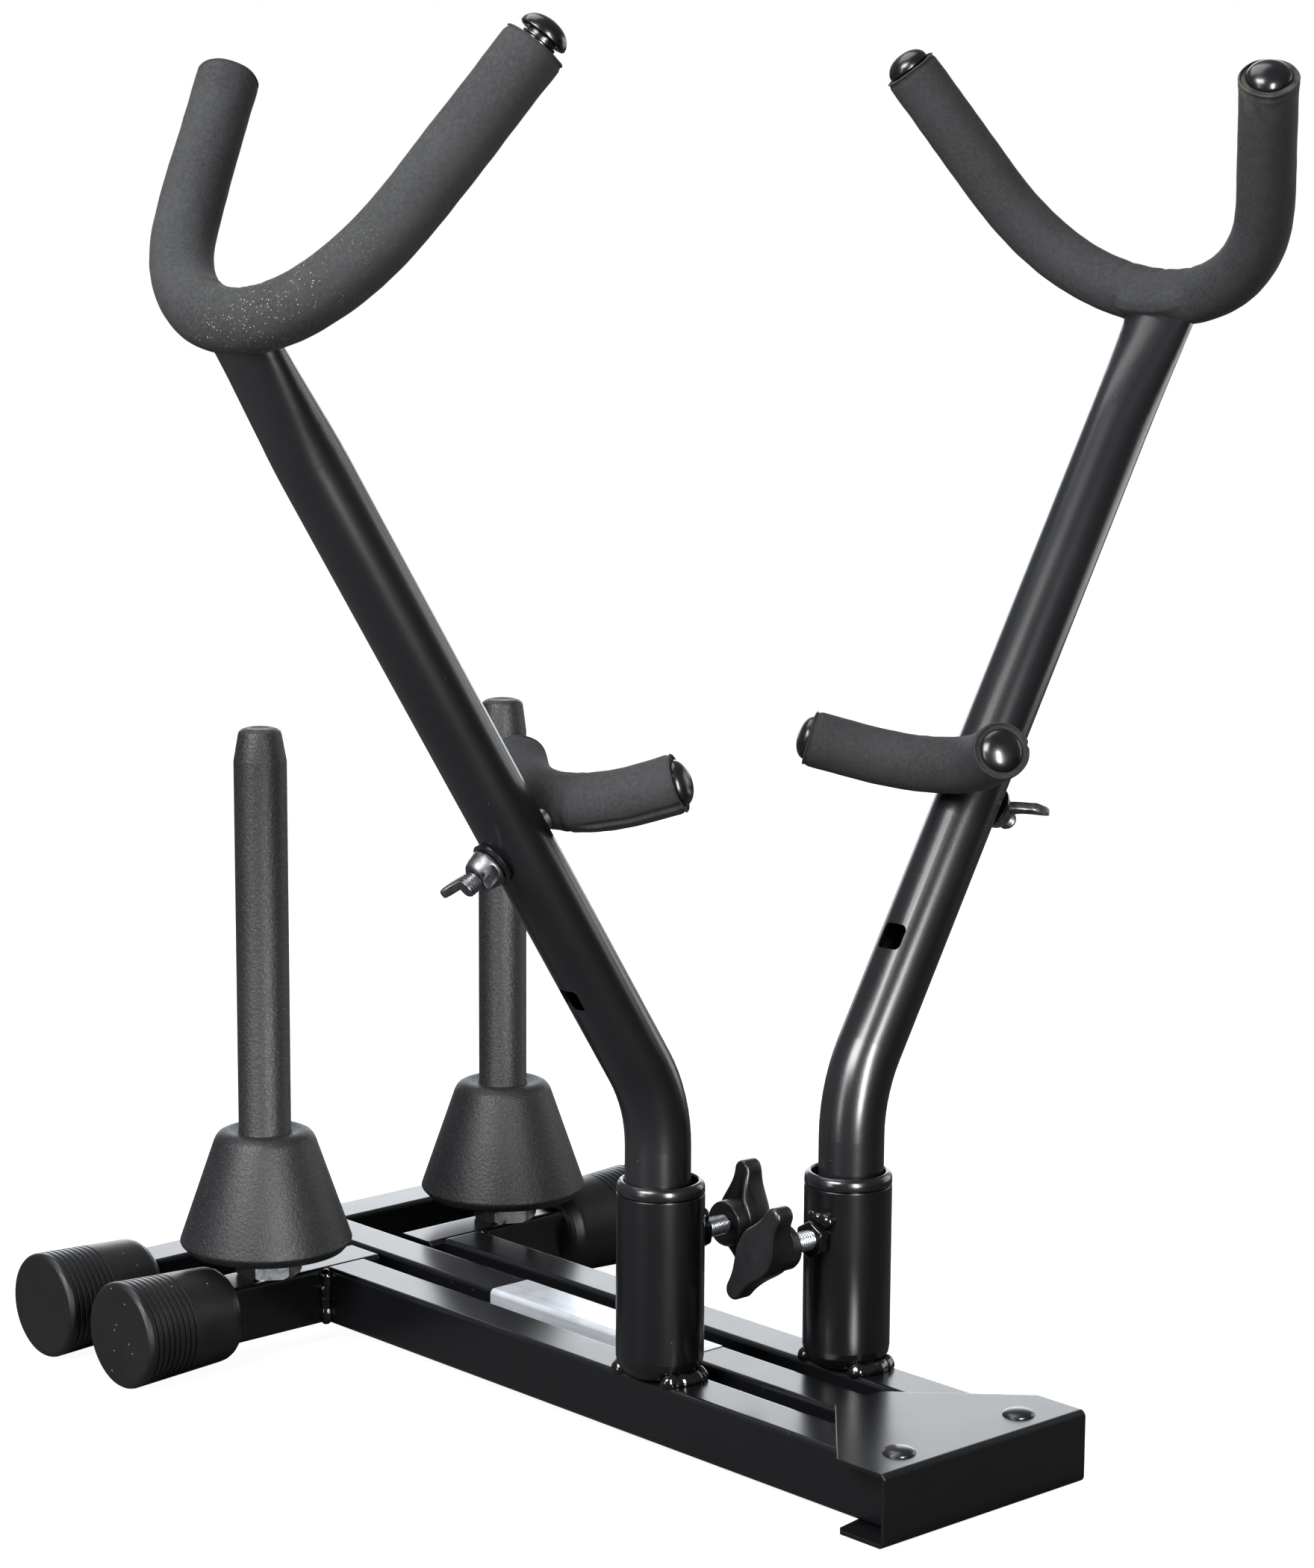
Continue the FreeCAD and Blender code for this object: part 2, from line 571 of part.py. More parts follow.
def yoke_frame(side):
    shape = YOKE[side.name]
    across = turned(side.across, side.along, shape["yaw"])
    reach = turned(turned(side.inner_normal, side.across, shape["pitch"]), side.along, shape["yaw"])
    origin = side.station(side.bolt_station) + side.inner_normal * YOKE_STANDOFF
    bolt = side.inner_normal
    return origin, turned(across, bolt, shape["roll"]), turned(reach, bolt, shape["roll"])


class Bend:
    """Centre line of a fork or yoke: an arc through the origin and a straight prong each side."""

    def __init__(self, frame, shape):
        origin, across, reach = frame
        radius = shape["bend_r"]
        centre = origin + reach * radius
        self.origin = origin
        self.ends = []
        for sign, sweep, prong in zip((-1, 1), shape["sweep"], shape["prong"]):
            a = radians(sweep)
            arc_end = centre + across * (sign * radius * sin(a)) - reach * (radius * cos(a))
            way = across * (sign * cos(a)) + reach * sin(a)
            self.ends.append((arc_end, way, prong))

    def tip(self, index, trim=0.0):
        arc_end, way, prong = self.ends[index]
        return arc_end + way * (prong - trim)

    def bar(self, radius, trims=(0.0, 0.0)):
        near, far = self.ends
        start = self.tip(0, trims[0])
        edges = [Part.makeLine(start, near[0]), Part.Arc(near[0], self.origin, far[0]).toShape()]
        edges.append(Part.makeLine(far[0], self.tip(1, trims[1])))
        return pipe(edges, start, near[1] * -1, radius)


def fork_bend(side):
    return Bend(fork_frame(side), FORK[side.name])


def yoke_bend(side):
    return Bend(yoke_frame(side), YOKE[side.name])


def end_caps(bend, tube_r, cap_r, cap_h, stand_off):
    """Two domed plugs pushed into the tube's ends; stand_off is each dome's seat past the tube."""
    plug = tube_r - WALL
    caps = []
    for i, proud in enumerate(stand_off):
        profile = [(-CAP_PLUG, 0), (-CAP_PLUG, plug), (proud, plug)] + dome_profile(cap_r, cap_h, proud)
        caps.append(revolve(profile, bend.tip(i), bend.ends[i][1]))
    return Part.makeCompound(caps)


def fork_tube(side):
    bend = fork_bend(side)
    return bend.bar(FORK_TUBE_R, FORK_TRIM).cut(bend.bar(FORK_TUBE_R - WALL, BEYOND))


def fork_foam(side):
    bend = fork_bend(side)
    foam = bend.bar(FORK_FOAM_R).cut(bend.bar(FORK_TUBE_R, BEYOND))
    foam = foam.cut(fork_caps(side))
    return foam.cut(flattened_end(side, 0))


def fork_caps(side):
    return end_caps(fork_bend(side), FORK_TUBE_R, FORK_CAP_R, FORK_CAP_H, FORK_CAP_SEAT[side.name])


def bolt_axis(side):
    return side.station(side.bolt_station), side.inner_normal


def yoke_tube(side):
    centre, inner = bolt_axis(side)
    bend = yoke_bend(side)
    tube = bend.bar(YOKE_TUBE_R, YOKE_TRIM).cut(bend.bar(YOKE_TUBE_R - WALL, BEYOND))
    tube = tube.cut(Part.makeCylinder(BOLT_R, YOKE_STANDOFF + 3, centre, inner))
    return tube.cut(yoke_bolt(side))


def yoke_foam(side):
    bend = yoke_bend(side)
    foam = bend.bar(YOKE_FOAM_R).cut(bend.bar(YOKE_TUBE_R, BEYOND)).cut(yoke_caps(side))
    arm = Part.makeCylinder(ARM_R, 80, side.station(side.bolt_station - 40), side.along)
    return foam.cut(yoke_bolt(side)).cut(arm)


def yoke_caps(side):
    return end_caps(yoke_bend(side), YOKE_TUBE_R, YOKE_CAP_R, YOKE_CAP_H, YOKE_CAP_SEAT[side.name])


def yoke_bolt(side):
    """Carriage bolt: its head sits on the yoke tube, its thread ends beyond the arm."""
    centre, inner = bolt_axis(side)
    seat = YOKE_STANDOFF + YOKE_TUBE_R - 1.2
    profile = [(-BOLT_END, 0), (-BOLT_END, BOLT_R - 0.6), (0.6 - BOLT_END, BOLT_R), (seat, BOLT_R)]
    return revolve(profile + dome_profile(BOLT_HEAD_R, 2.6, seat), centre, inner)


def yoke_washer(side):
    centre, inner = bolt_axis(side)
    face = centre - inner * (ARM_R + WASHER_H)
    ring = Part.makeCylinder(WASHER_R, WASHER_H, face, inner)
    return ring.cut(Part.makeCylinder(BOLT_R, 10, face - inner * 4, inner))


def wing_nut(side):
    centre, inner = bolt_axis(side)
    out = inner * -1
    base = centre + out * (ARM_R + WASHER_H + GAP)
    profile = [(0, 0), (0, WING_BASE_R), (1.4, WING_BASE_R), (WING_H, WING_TOP_R), (WING_H, 0)]
    body = revolve(profile, base, out)
    turn = radians(WING_TURN[side.name])
    for sign in (-1, 1):
        sideways = (side.across * cos(turn) + side.along * sin(turn)) * sign
        thick = out.cross(sideways)
        outline = [(2.0, 1.0), (WING_BASE_R + 0.5, 1.4), (WING_SPAN - 1.5, WING_RISE - 5.0)]
        outline += [(WING_SPAN, WING_RISE - 2.0), (WING_SPAN - 0.8, WING_RISE - 0.4)]
        outline += [(WING_SPAN - 2.8, WING_RISE), (WING_SPAN - 5.0, WING_RISE - 0.8)]
        outline += [(WING_TOP_R, WING_H - 0.6), (2.0, WING_H - 1.0)]
        points = [base + sideways * u + out * w - thick * (WING_T / 2) for u, w in outline]
        body = body.fuse(Part.Face(Part.makePolygon(points + [points[0]])).extrude(thick * WING_T))
    bore = Part.makeCylinder(BOLT_R + FIT, 40, base - out * 5, out)
    return body.cut(bore).removeSplitter()


# ---------------------------------------------------------------- clamp knob
def knob_frame(side):
    start = side.socket + UP * CLAMP_Z + side.inward * SOCKET_R
    return start, side.inward


def knob_stud(side):
    start, inward = knob_frame(side)
    tip = SOCKET_R - STUD_TIP
    length = tip + KNOB_HUB_START + 8
    return Part.makeCylinder(KNOB_STUD_R, length, start - inward * tip, inward)


def clamp_knob(side):
    """Hub with two blades: thin round the stud, wide along it."""
    start, inward = knob_frame(side)
    hub_face = start + inward * KNOB_HUB_START
    end = KNOB_LEN - 2.5
    profile = [(0, 0), (0, KNOB_HUB_R - 0.8), (0.8, KNOB_HUB_R), (end - 5, KNOB_HUB_R)]
    profile += round_profile(end - 5, KNOB_HUB_R, end, KNOB_HUB_R - 4, 4) + [(end, 0)]
    body = revolve(profile, hub_face, inward)
    turn = radians(KNOB_TURN[side.name])
    up = UP * cos(turn) + V(0, 1, 0) * sin(turn)
    sideways = inward.cross(up)
    tip = KNOB_WING_R
    for sign in (-1, 1):
        outline = [(0, 3.0), (KNOB_HUB_R, 4.5), (tip - 9.0, 8.0), (tip - 4.0, 9.6)]
        outline += [(tip - 1.2, 10.4), (tip, 12.2), (tip, 16.0), (tip - 1.4, 18.4)]
        outline += [(tip - 5.0, KNOB_LEN), (tip - 12.0, 17.6), (0, end)]
        points = [hub_face + up * (sign * u) + inward * w - sideways * (KNOB_WING_T / 2) for u, w in outline]
        body = body.fuse(Part.Face(Part.makePolygon(points + [points[0]])).extrude(sideways * KNOB_WING_T))
    stud = Part.makeCylinder(KNOB_STUD_R, 8, hub_face, inward)
    return body.cut(stud).removeSplitter()


# ---------------------------------------------------------------- write every sub-part
def main():
    os.makedirs("parts", exist_ok=True)
    export("end_bracket", end_bracket())
    export("pivot_rivets", pivot_rivets())
    export("centre_rail", rail_along_y(0, SHEET, CROSSBAR_Y))
    reach = REAR_FOOT_FACE_X - FOOT_LEN + FOOT_DEPTH
    export("rear_crossbar", rail_along_x(-reach, reach, CROSSBAR_Y, RAIL_Z - CROSSBAR_DROP))
    export("base_welds", base_welds())
    export("rail_label", rail_label())
    for name, sign in (("left", -1), ("right", 1)):
        side = Side(name, sign)
        low = RAIL_MID - CROSSBAR_DROP
        export("rear_foot_" + name, foot(REAR_FOOT_FACE_X, sign, CROSSBAR_MID_Y, low))
        export(name + "_rail", rail(side))
        export(name + "_leg", leg(side))
        export(name + "_foot", foot(FOOT_FACE_X, sign, LEG_MID_Y, RAIL_MID))
        export(name + "_socket", socket(side))
        export(name + "_weld_nut", weld_nut(side))
        export(name + "_welds", frame_welds(side))
        export(name + "_peg_nut", peg_nut(side))
        export(name + "_peg", peg(side))
        export(name + "_collar", collar(side))
        export(name + "_arm_tube", arm_tube(side))
        export(name + "_fork_tube", fork_tube(side))
        export(name + "_fork_foam", fork_foam(side))
        export(name + "_fork_caps", fork_caps(side))
        export(name + "_yoke_tube", yoke_tube(side))
        export(name + "_yoke_foam", yoke_foam(side))
        export(name + "_yoke_caps", yoke_caps(side))
        export(name + "_yoke_bolt", yoke_bolt(side))
        export(name + "_yoke_washer", yoke_washer(side))
        export(name + "_wing_nut", wing_nut(side))
        export(name + "_knob_stud", knob_stud(side))
        export(name + "_clamp_knob", clamp_knob(side))


main()
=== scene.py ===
import json
from math import atan2, cos, exp, pi, radians, sin, sqrt

import bpy
from mathutils import Matrix, Vector, noise


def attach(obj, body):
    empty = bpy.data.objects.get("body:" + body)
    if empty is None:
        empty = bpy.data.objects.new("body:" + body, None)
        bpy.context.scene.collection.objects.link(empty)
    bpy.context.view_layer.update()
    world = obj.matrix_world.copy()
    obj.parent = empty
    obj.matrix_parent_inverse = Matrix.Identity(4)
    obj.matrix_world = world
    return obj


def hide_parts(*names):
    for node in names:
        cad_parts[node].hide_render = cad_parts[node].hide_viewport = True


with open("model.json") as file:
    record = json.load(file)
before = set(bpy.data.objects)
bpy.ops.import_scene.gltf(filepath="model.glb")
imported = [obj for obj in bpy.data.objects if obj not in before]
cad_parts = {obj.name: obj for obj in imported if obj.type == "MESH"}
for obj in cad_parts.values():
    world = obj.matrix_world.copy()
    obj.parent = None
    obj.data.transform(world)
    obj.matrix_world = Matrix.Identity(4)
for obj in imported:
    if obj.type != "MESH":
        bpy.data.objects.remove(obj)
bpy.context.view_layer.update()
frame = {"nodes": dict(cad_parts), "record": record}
nodes = frame["nodes"]

# ---------------------------------------------------------------- the stand's own layout, mm
# The same rail frame as the solids: X across the rails, Y along them, Z square to the rails.
STANCE = radians(1.346568)
MIDDLE_Y = 214.7
UP = Vector((0, 0, 1))
RAIL_X = 31.8
SOCKET_Y = {"left": 142.2, "right": 104.7}
SOCKET_R = 17.0
SOCKET_BORE_R = 15.45
SOCKET_TOP = 98.0
CLAMP_Z = 79.0
ARM_R = 12.7
ARM_LEAN = radians(31.9)
ARM_SPLAY = radians(3.2)
ARM_OFFSET = 1.5
ARM_BEND_Z = 134.0
ARM_LEAN_LEN = 350.2
BOLT_STATION = {"left": 126.3, "right": 128.1}
YOKE_STANDOFF = 23.8
FORK = {
    "left": {"bend_r": 66.0, "sweep": (71.2, 69.7), "prong": (68.1, 63.0),
             "tilt": 35.0, "yaw": 2.8, "roll": 0.2, "seat": (3.2, -6.5), "flare": (0.0, 0.0)},
    "right": {"bend_r": 73.5, "sweep": (67.3, 69.2), "prong": (60.5, 64.3),
              "tilt": 31.9, "yaw": -5.7, "roll": 3.3, "seat": (-1.4, 0.3), "flare": (0.4, 0.0)},
}
YOKE = {
    "left": {"bend_r": 53.6, "sweep": (40.0, 40.4), "prong": (12.1, 11.5),
             "pitch": 4.1, "yaw": 4.8, "roll": 1.3, "seat": (-1.0, -2.5), "flare": (0.3, 0.0)},
    "right": {"bend_r": 54.4, "sweep": (37.5, 39.8), "prong": (14.0, 16.7),
              "pitch": -3.2, "yaw": -0.2, "roll": 4.6, "seat": (-2.4, -0.8), "flare": (0.2, 0.0)},
}
FORK_FOAM_R = 11.3
FORK_BORE_R = 8.15
FORK_CAP_R = 8.9
FORK_CAP_H = 6.5
FORK_PLUG_R = 6.4
FORK_TRIM = 7.0
YOKE_FOAM_R = 10.95
YOKE_BORE_R = 7.15
YOKE_CAP_R = 8.7
YOKE_CAP_H = 5.4
YOKE_PLUG_R = 5.4
YOKE_TRIM = 4.0
BOLT_END = 28.0
WASHER_R = 9.0
WASHER_H = 1.6
WING_TURN = {"left": -18.0, "right": -21.0}
WING_SPAN = 17.5
WING_RISE = 14.0
STUD_R = 3.9
STUD_TIP = 12.1
THREAD_PITCH = 1.25
KNOB_HUB_START = 15.9
KNOB_LEN = 19.0
KNOB_REACH = 23.4
KNOB_TURN = {"left": 3.0, "right": -33.0}
PEG_X = 64.5
PEG_Y = 350.6
PEG_ROD_R = {"left": 10.9, "right": 10.4}


def placed(p):
    """A point of the rail frame, in metres on the floor."""
    c, s = cos(STANCE), sin(STANCE)
    return Vector((p.x, p.y * c - p.z * s - MIDDLE_Y, p.y * s + p.z * c)) / 1000


def turned(vector, axis, degrees):
    return Matrix.Rotation(radians(degrees), 3, axis) @ vector


def smooth(t):
    t = min(max(t, 0.0), 1.0)
    return t * t * (3 - 2 * t)


def bump(distance, width):
    return exp(-(distance / width) ** 2)


class Side:
    """Axes and key points of the left or right half."""

    def __init__(self, name, sign):
        self.name = name
        self.sign = sign
        self.socket = Vector((sign * RAIL_X, SOCKET_Y[name], 0))
        self.inward = Vector((-sign, 0, 0))
        self.out = Vector((sign * cos(ARM_SPLAY), sin(ARM_SPLAY), 0))
        self.across = Vector((-sign * sin(ARM_SPLAY), cos(ARM_SPLAY), 0))
        self.along = self.out * sin(ARM_LEAN) + UP * cos(ARM_LEAN)
        self.inner_normal = self.out * -cos(ARM_LEAN) + UP * sin(ARM_LEAN)
        self.crossing = self.socket + self.out * ARM_OFFSET + UP * ARM_BEND_Z

    def station(self, distance):
        return self.crossing + self.along * distance

    def fork_frame(self):
        shape = FORK[self.name]
        tilt = radians(shape["tilt"])
        across = turned(self.across, self.along, shape["yaw"])
        reach = turned(UP * cos(tilt) - self.out * sin(tilt), self.along, shape["yaw"])
        normal = across.cross(reach)
        roll = shape["roll"]
        return self.station(ARM_LEAN_LEN), turned(across, normal, roll), turned(reach, normal, roll)

    def yoke_frame(self):
        shape = YOKE[self.name]
        across = turned(self.across, self.along, shape["yaw"])
        reach = turned(turned(self.inner_normal, self.across, shape["pitch"]), self.along, shape["yaw"])
        origin = self.station(BOLT_STATION[self.name]) + self.inner_normal * YOKE_STANDOFF
        bolt = self.inner_normal
        return origin, turned(across, bolt, shape["roll"]), turned(reach, bolt, shape["roll"])


class Curve:
    """Centre line of a fork or yoke, by distance from the middle of its bend."""

    def __init__(self, origin_frame, shape):
        self.origin, self.across, self.reach = origin_frame
        self.normal = self.across.cross(self.reach)
        self.radius = shape["bend_r"]
        self.sweep = [radians(a) for a in shape["sweep"]]
        self.prong = shape["prong"]
        self.low = -(self.radius * self.sweep[0] + self.prong[0])
        self.high = self.radius * self.sweep[1] + self.prong[1]

    def at(self, s):
        """Point, tangent and the direction to the inside of the bend."""
        sign = 1 if s >= 0 else -1
        limit = self.sweep[1] if s >= 0 else self.sweep[0]
        angle = min(abs(s) / self.radius, limit)
        extra = abs(s) - angle * self.radius
        centre = self.origin + self.reach * self.radius
        aside, back = sign * self.radius * sin(angle), self.radius * cos(angle)
        point = centre + self.across * aside - self.reach * back
        outward = self.across * (sign * cos(angle)) + self.reach * sin(angle)
        inside = self.reach * cos(angle) - self.across * (sign * sin(angle))
        return point + outward * extra, outward * sign, inside

    def bent(self, s):
        """1 within the bend, easing to 0 along the prongs."""
        arc = self.radius * (self.sweep[1] if s >= 0 else self.sweep[0])
        return 1 - smooth((abs(s) - arc + 6) / 14)


# ---------------------------------------------------------------- mesh building
class Piece:
    """Collects rail-frame points and faces and turns them into one object."""

    def __init__(self, name):
        self.name = name
        self.points = []
        self.faces = []

    def rings(self, rings, closed=False, caps=True):
        start = len(self.points)
        count = len(rings[0])
        for ring in rings:
            self.points.extend(ring)
        last = len(rings) if closed else len(rings) - 1
        for i in range(last):
            a = start + i * count
            b = start + ((i + 1) % len(rings)) * count
            for j in range(count):
                k = (j + 1) % count
                self.faces.append((a + j, a + k, b + k, b + j))
        if caps and not closed:
            self.faces.append(tuple(start + j for j in reversed(range(count))))
            end = start + (len(rings) - 1) * count
            self.faces.append(tuple(end + j for j in range(count)))

    def turned(self, profile, origin, axis, segments=64, closed=False, shape=None):
        """Profile of (distance, radius) about an axis; shape may alter each radius."""
        side = axis.orthogonal().normalized()
        other = axis.cross(side)
        rings = []
        for s, r in profile:
            ring = []
            for j in range(segments):
                t = 2 * pi * j / segments
                reach = shape(s, r, t) if shape else r
                ring.append(origin + axis * s + (side * cos(t) + other * sin(t)) * reach)
            rings.append(ring)
        self.rings(rings, closed)

    def make(self, body, slot, replaces=(), sharp=40):
        mesh = bpy.data.meshes.new(self.name)
        mesh.from_pydata([placed(p) for p in self.points], [], self.faces)
        mesh.validate()
        mesh.update()
        obj = bpy.data.objects.new(self.name, mesh)
        bpy.context.scene.collection.objects.link(obj)
        mesh.polygons.foreach_set("use_smooth", [True] * len(mesh.polygons))
        if sharp:
            mesh.set_sharp_from_angle(angle=radians(sharp))
        mesh.materials.append(MATERIALS[slot])
        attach(obj, body)
        if replaces:
            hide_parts(*replaces)
        return obj


def arc(s0, r0, s1, r1, steps):
    """Quarter of an ellipse from (s0, r0) to (s1, r1), leaving along the axis."""
    out = []
    for i in range(steps + 1):
        t = (pi / 2) * i / steps
        out.append((s0 + (s1 - s0) * sin(t), r1 + (r0 - r1) * cos(t)))
    return out


# ---------------------------------------------------------------- foam sleeves and their caps
def sleeve(name, curve, radius, bore, shape, slot, body, node, creases, press=None, cover=None, seam=None):
    """Foam tube with a thumbed surface, and creases inside the bend."""
    around = 120
    step = 1.3
    count = int((curve.high - curve.low) / step)
    stations = [curve.low + (curve.high - curve.low) * i / count for i in range(count + 1)]
    seed = Vector((radius * 3.1, curve.radius * 1.7, curve.low))

    def outer(s, t):
        """Radius at distance s and angle t; t = 0 is the inside of the bend."""
        inner_side = smooth((cos(t) + 0.15) / 1.15)
        outer_side = smooth((-cos(t) + 0.1) / 1.1)
        r = radius
        r += 0.30 * noise.noise(Vector((s * 0.035, cos(t) * 0.9, sin(t) * 0.9)) + seed)
        r += 0.13 * noise.noise(Vector((s * 0.16, cos(t) * 2.4, sin(t) * 2.4)) + seed * 1.3)
        bent = curve.bent(s)
        r -= 0.35 * bent * outer_side
        r += 0.25 * bent * inner_side
        for place, width, depth, centre, spread in creases:
            lean = place + 2.2 * sin(t + place)
            side_weight = exp(-(sin((t - centre) / 2) / spread) ** 2)
            r -= depth * bump(s - lean, width) * side_weight
            r += 0.45 * depth * bump(abs(s - lean) - 2.3 * width, 1.6 * width) * side_weight
        if cover is not None:
            below, front = cover
            off = t - below
            beside, under, corner = 13.4, 12.6, 16.5
            square = min(beside / max(abs(sin(off)), 0.01), under / max(abs(cos(off)), 0.01), corner)
            near = smooth((21.0 - abs(s)) / 9.0) * smooth(cos(off) / 0.4)
            near *= smooth((cos(t - front) + 0.4) / 0.5)
            r += max(0.0, square - radius) * near
        if seam:
            angle, start, end, depth = seam
            off = radius * sin(t - angle) + 0.9 * noise.noise(Vector((s * 0.07, 4.0, 1.0)))
            span = smooth((s - start) / 7) * smooth((end - s) / 7) * smooth(cos(t - angle) * 4)
            r += depth * (0.5 * bump(off + 1.9, 1.3) - bump(off, 0.8)) * span
        if press:
            place, width, depth, centre = press
            r -= depth * bump(s - place, width) * smooth((cos(t - centre) - 0.2) / 0.8)
        low_end, high_end = s - curve.low, curve.high - s
        r += shape["flare"][0] * bump(low_end, 5) + shape["flare"][1] * bump(high_end, 5)
        return r

    def ring(s, radial):
        point, tangent, inside = curve.at(s)
        other = tangent.cross(inside)
        out = []
        for j in range(around):
            t = 2 * pi * j / around
            wave = 0.0
            if s - curve.low < 3 or curve.high - s < 3:
                wave = 0.35 * noise.noise(Vector((cos(t) * 1.6, sin(t) * 1.6, s * 0.02)) + seed)
            out.append(point + tangent * wave + (inside * cos(t) + other * sin(t)) * radial(s, t))
        return out

    rim = 0.9

    def rim_ring(end, into, i):
        """Ring i of five at a cut end; into is 1 where the sleeve lies at higher s."""
        a = (pi / 2) * i / 4
        drop = rim * (1 - cos(a)) if i else rim
        return ring(end + into * rim * (1 - sin(a)), lambda s, t: outer(s, t) - drop)

    rings = [rim_ring(curve.low, 1, i) for i in range(5)]
    rings.extend(ring(s, outer) for s in stations if curve.low + 1.6 < s < curve.high - 1.6)
    rings.extend(rim_ring(curve.high, -1, i) for i in reversed(range(5)))

    def inner(s, t):
        return bore + 0.12 * noise.noise(Vector((s * 0.3, cos(t) * 2, sin(t) * 2)))

    for s in reversed(stations):
        rings.append(ring(s, inner))
    piece = Piece(name)
    piece.rings(rings, closed=True)
    obj = piece.make(body, slot, (node,), sharp=0)
    return obj


def end_caps(name, curve, cap_r, cap_h, plug_r, trim, seats, slot, body, node):
    """Two moulded plugs: ribbed neck, thin flange, polished dome."""
    piece = Piece(name)
    for s, sign, seat in ((curve.low, -1, seats[0]), (curve.high, 1, seats[1])):
        point, tangent, _ = curve.at(s)
        axis = tangent * sign
        flange = 0.7
        profile = [(-trim - 6, plug_r - 1.2), (-trim - 5, plug_r)]
        s0 = -trim + 0.4
        while s0 < seat - 1.6:
            neck = plug_r - 0.9
            profile += [(s0, neck), (s0 + 0.35, plug_r), (s0 + 0.8, plug_r), (s0 + 1.1, neck)]
            s0 += 1.9
        profile += [(seat - 0.25, plug_r - 0.9), (seat - 0.2, cap_r - 1.2), (seat, cap_r - 0.35)]
        profile += [(seat + 0.25, cap_r - 0.06), (seat + 0.45, cap_r), (seat + flange, cap_r - 0.02)]
        rise = cap_h - flange
        for i in range(1, 13):
            t = (pi / 2) * i / 13
            profile.append((seat + flange + rise * sin(t), cap_r * cos(t) ** 0.93))
        profile.append((seat + cap_h - 0.01, 0.35))
        piece.turned(profile, point, axis, 64)
    return piece.make(body, slot, (node,), sharp=48)


# ---------------------------------------------------------------- threads, nuts and knobs
def thread(piece, origin, axis, radius, pitch, start, end):
    """Screw thread on a rod between two distances."""
    segments = 36
    side = axis.orthogonal().normalized()
    other = axis.cross(side)
    steps = int((end - start) / (pitch / 8))
    rings = []
    for i in range(steps + 1):
        s = start + (end - start) * i / steps
        fade = min(1.0, (s - start) / 0.8, (end - s) / 0.8)
        taper = 0.55 * (1 - smooth((end - s) / 0.9)) + 0.55 * (1 - smooth((s - start) / 0.9))
        ring = []
        for j in range(segments):
            t = 2 * pi * j / segments
            turn = (s / pitch - t / (2 * pi)) % 1.0
            depth = 0.62 * (1 - abs(2 * turn - 1) * 1.15)
            depth = max(0.0, min(depth, 0.55)) * fade
            r = radius - depth - taper
            ring.append(origin + axis * s + (side * cos(t) + other * sin(t)) * r)
        rings.append(ring)
    piece.rings(rings)


def superellipse(centre, u, v, half_u, half_v, power, count=40):
    ring = []
    for j in range(count):
        t = 2 * pi * j / count
        c, s = cos(t), sin(t)
        cu = abs(c) ** (2 / power) * (1 if c >= 0 else -1)
        sv = abs(s) ** (2 / power) * (1 if s >= 0 else -1)
        ring.append(centre + u * (half_u * cu) + v * (half_v * sv))
    return ring


def lobed_outline():
    """Outline of the grip seen along the stud, as (along the lobes, across them)."""
    count = 120
    tip_r = 4.1
    half = []
    for i in range(count + 1):
        u = (KNOB_REACH - tip_r) * i / count
        half.append((u, tip_r - 0.2 + 5.3 * exp(-(u / 10.5) ** 2.3)))
    for i in range(1, 13):
        t = (pi / 2) * i / 12
        half.append((KNOB_REACH - tip_r + tip_r * sin(t), (tip_r - 0.2) * cos(t)))
    right_half = half + [(u, -v) for u, v in reversed(half[:-1])]
    left_half = [(-u, -v) for u, v in half[1:]] + [(-u, v) for u, v in reversed(half[1:-1])]
    return right_half + left_half


def clamp_knob(side):
    """Round hub with a two-lobed grip at its outer end: flat faces, softly rounded edges."""
    inward = side.inward
    hub = side.socket + UP * CLAMP_Z + inward * (SOCKET_R + KNOB_HUB_START)
    turn = radians(KNOB_TURN[side.name])
    up = UP * cos(turn) + Vector((0, 1, 0)) * sin(turn)
    sideways = inward.cross(up)
    piece = Piece(side.name + "_knob_body")
    outline = lobed_outline()
    normals = []
    for i, (u, v) in enumerate(outline):
        before, after = outline[i - 1], outline[(i + 1) % len(outline)]
        du, dv = after[0] - before[0], after[1] - before[1]
        length = sqrt(du * du + dv * dv)
        normals.append((-dv / length, du / length))
    if sum(n[0] * p[0] + n[1] * p[1] for n, p in zip(normals, outline)) < 0:
        normals = [(-a, -b) for a, b in normals]

    def rear(u):
        return 5.4 + 4.6 * smooth((abs(u) - 7.0) / 13.0)

    def front(u):
        return KNOB_LEN - 0.5 - 0.9 * smooth((12.0 - abs(u)) / 12.0)

    def grip_ring(face, inset, rise):
        ring = []
        for (u, v), (nu, nv) in zip(outline, normals):
            w = face(u) + rise
            ring.append(hub + up * (u - nu * inset) + sideways * (v - nv * inset) + inward * w)
        return ring

    edge = 1.5
    turns = [(pi / 2) * i / 5 for i in range(6)]
    rings = [grip_ring(rear, edge * (1 - sin(t)), edge * (1 - cos(t))) for t in turns]
    rings += [grip_ring(front, edge * (1 - cos(t)), -edge * (1 - sin(t))) for t in turns]
    piece.rings(rings)
    profile = [(0.0, 5.0), (0.0, 8.1), (0.25, 8.7), (0.9, 9.0), (6.5, 9.05), (11.0, 9.2)]
    piece.turned(profile, hub, inward, 64)
    return piece.make(side.name + "_knob", "knob_plastic", (side.name + "_clamp_knob",), sharp=50)


def knob_stud(side):
    origin = side.socket + UP * CLAMP_Z
    piece = Piece(side.name + "_stud_thread")
    thread(piece, origin, side.inward, STUD_R, THREAD_PITCH, STUD_TIP, SOCKET_R + KNOB_HUB_START + 1.2)
    return piece.make(side.name + "_knob", "zinc_steel", (side.name + "_knob_stud",), sharp=60)


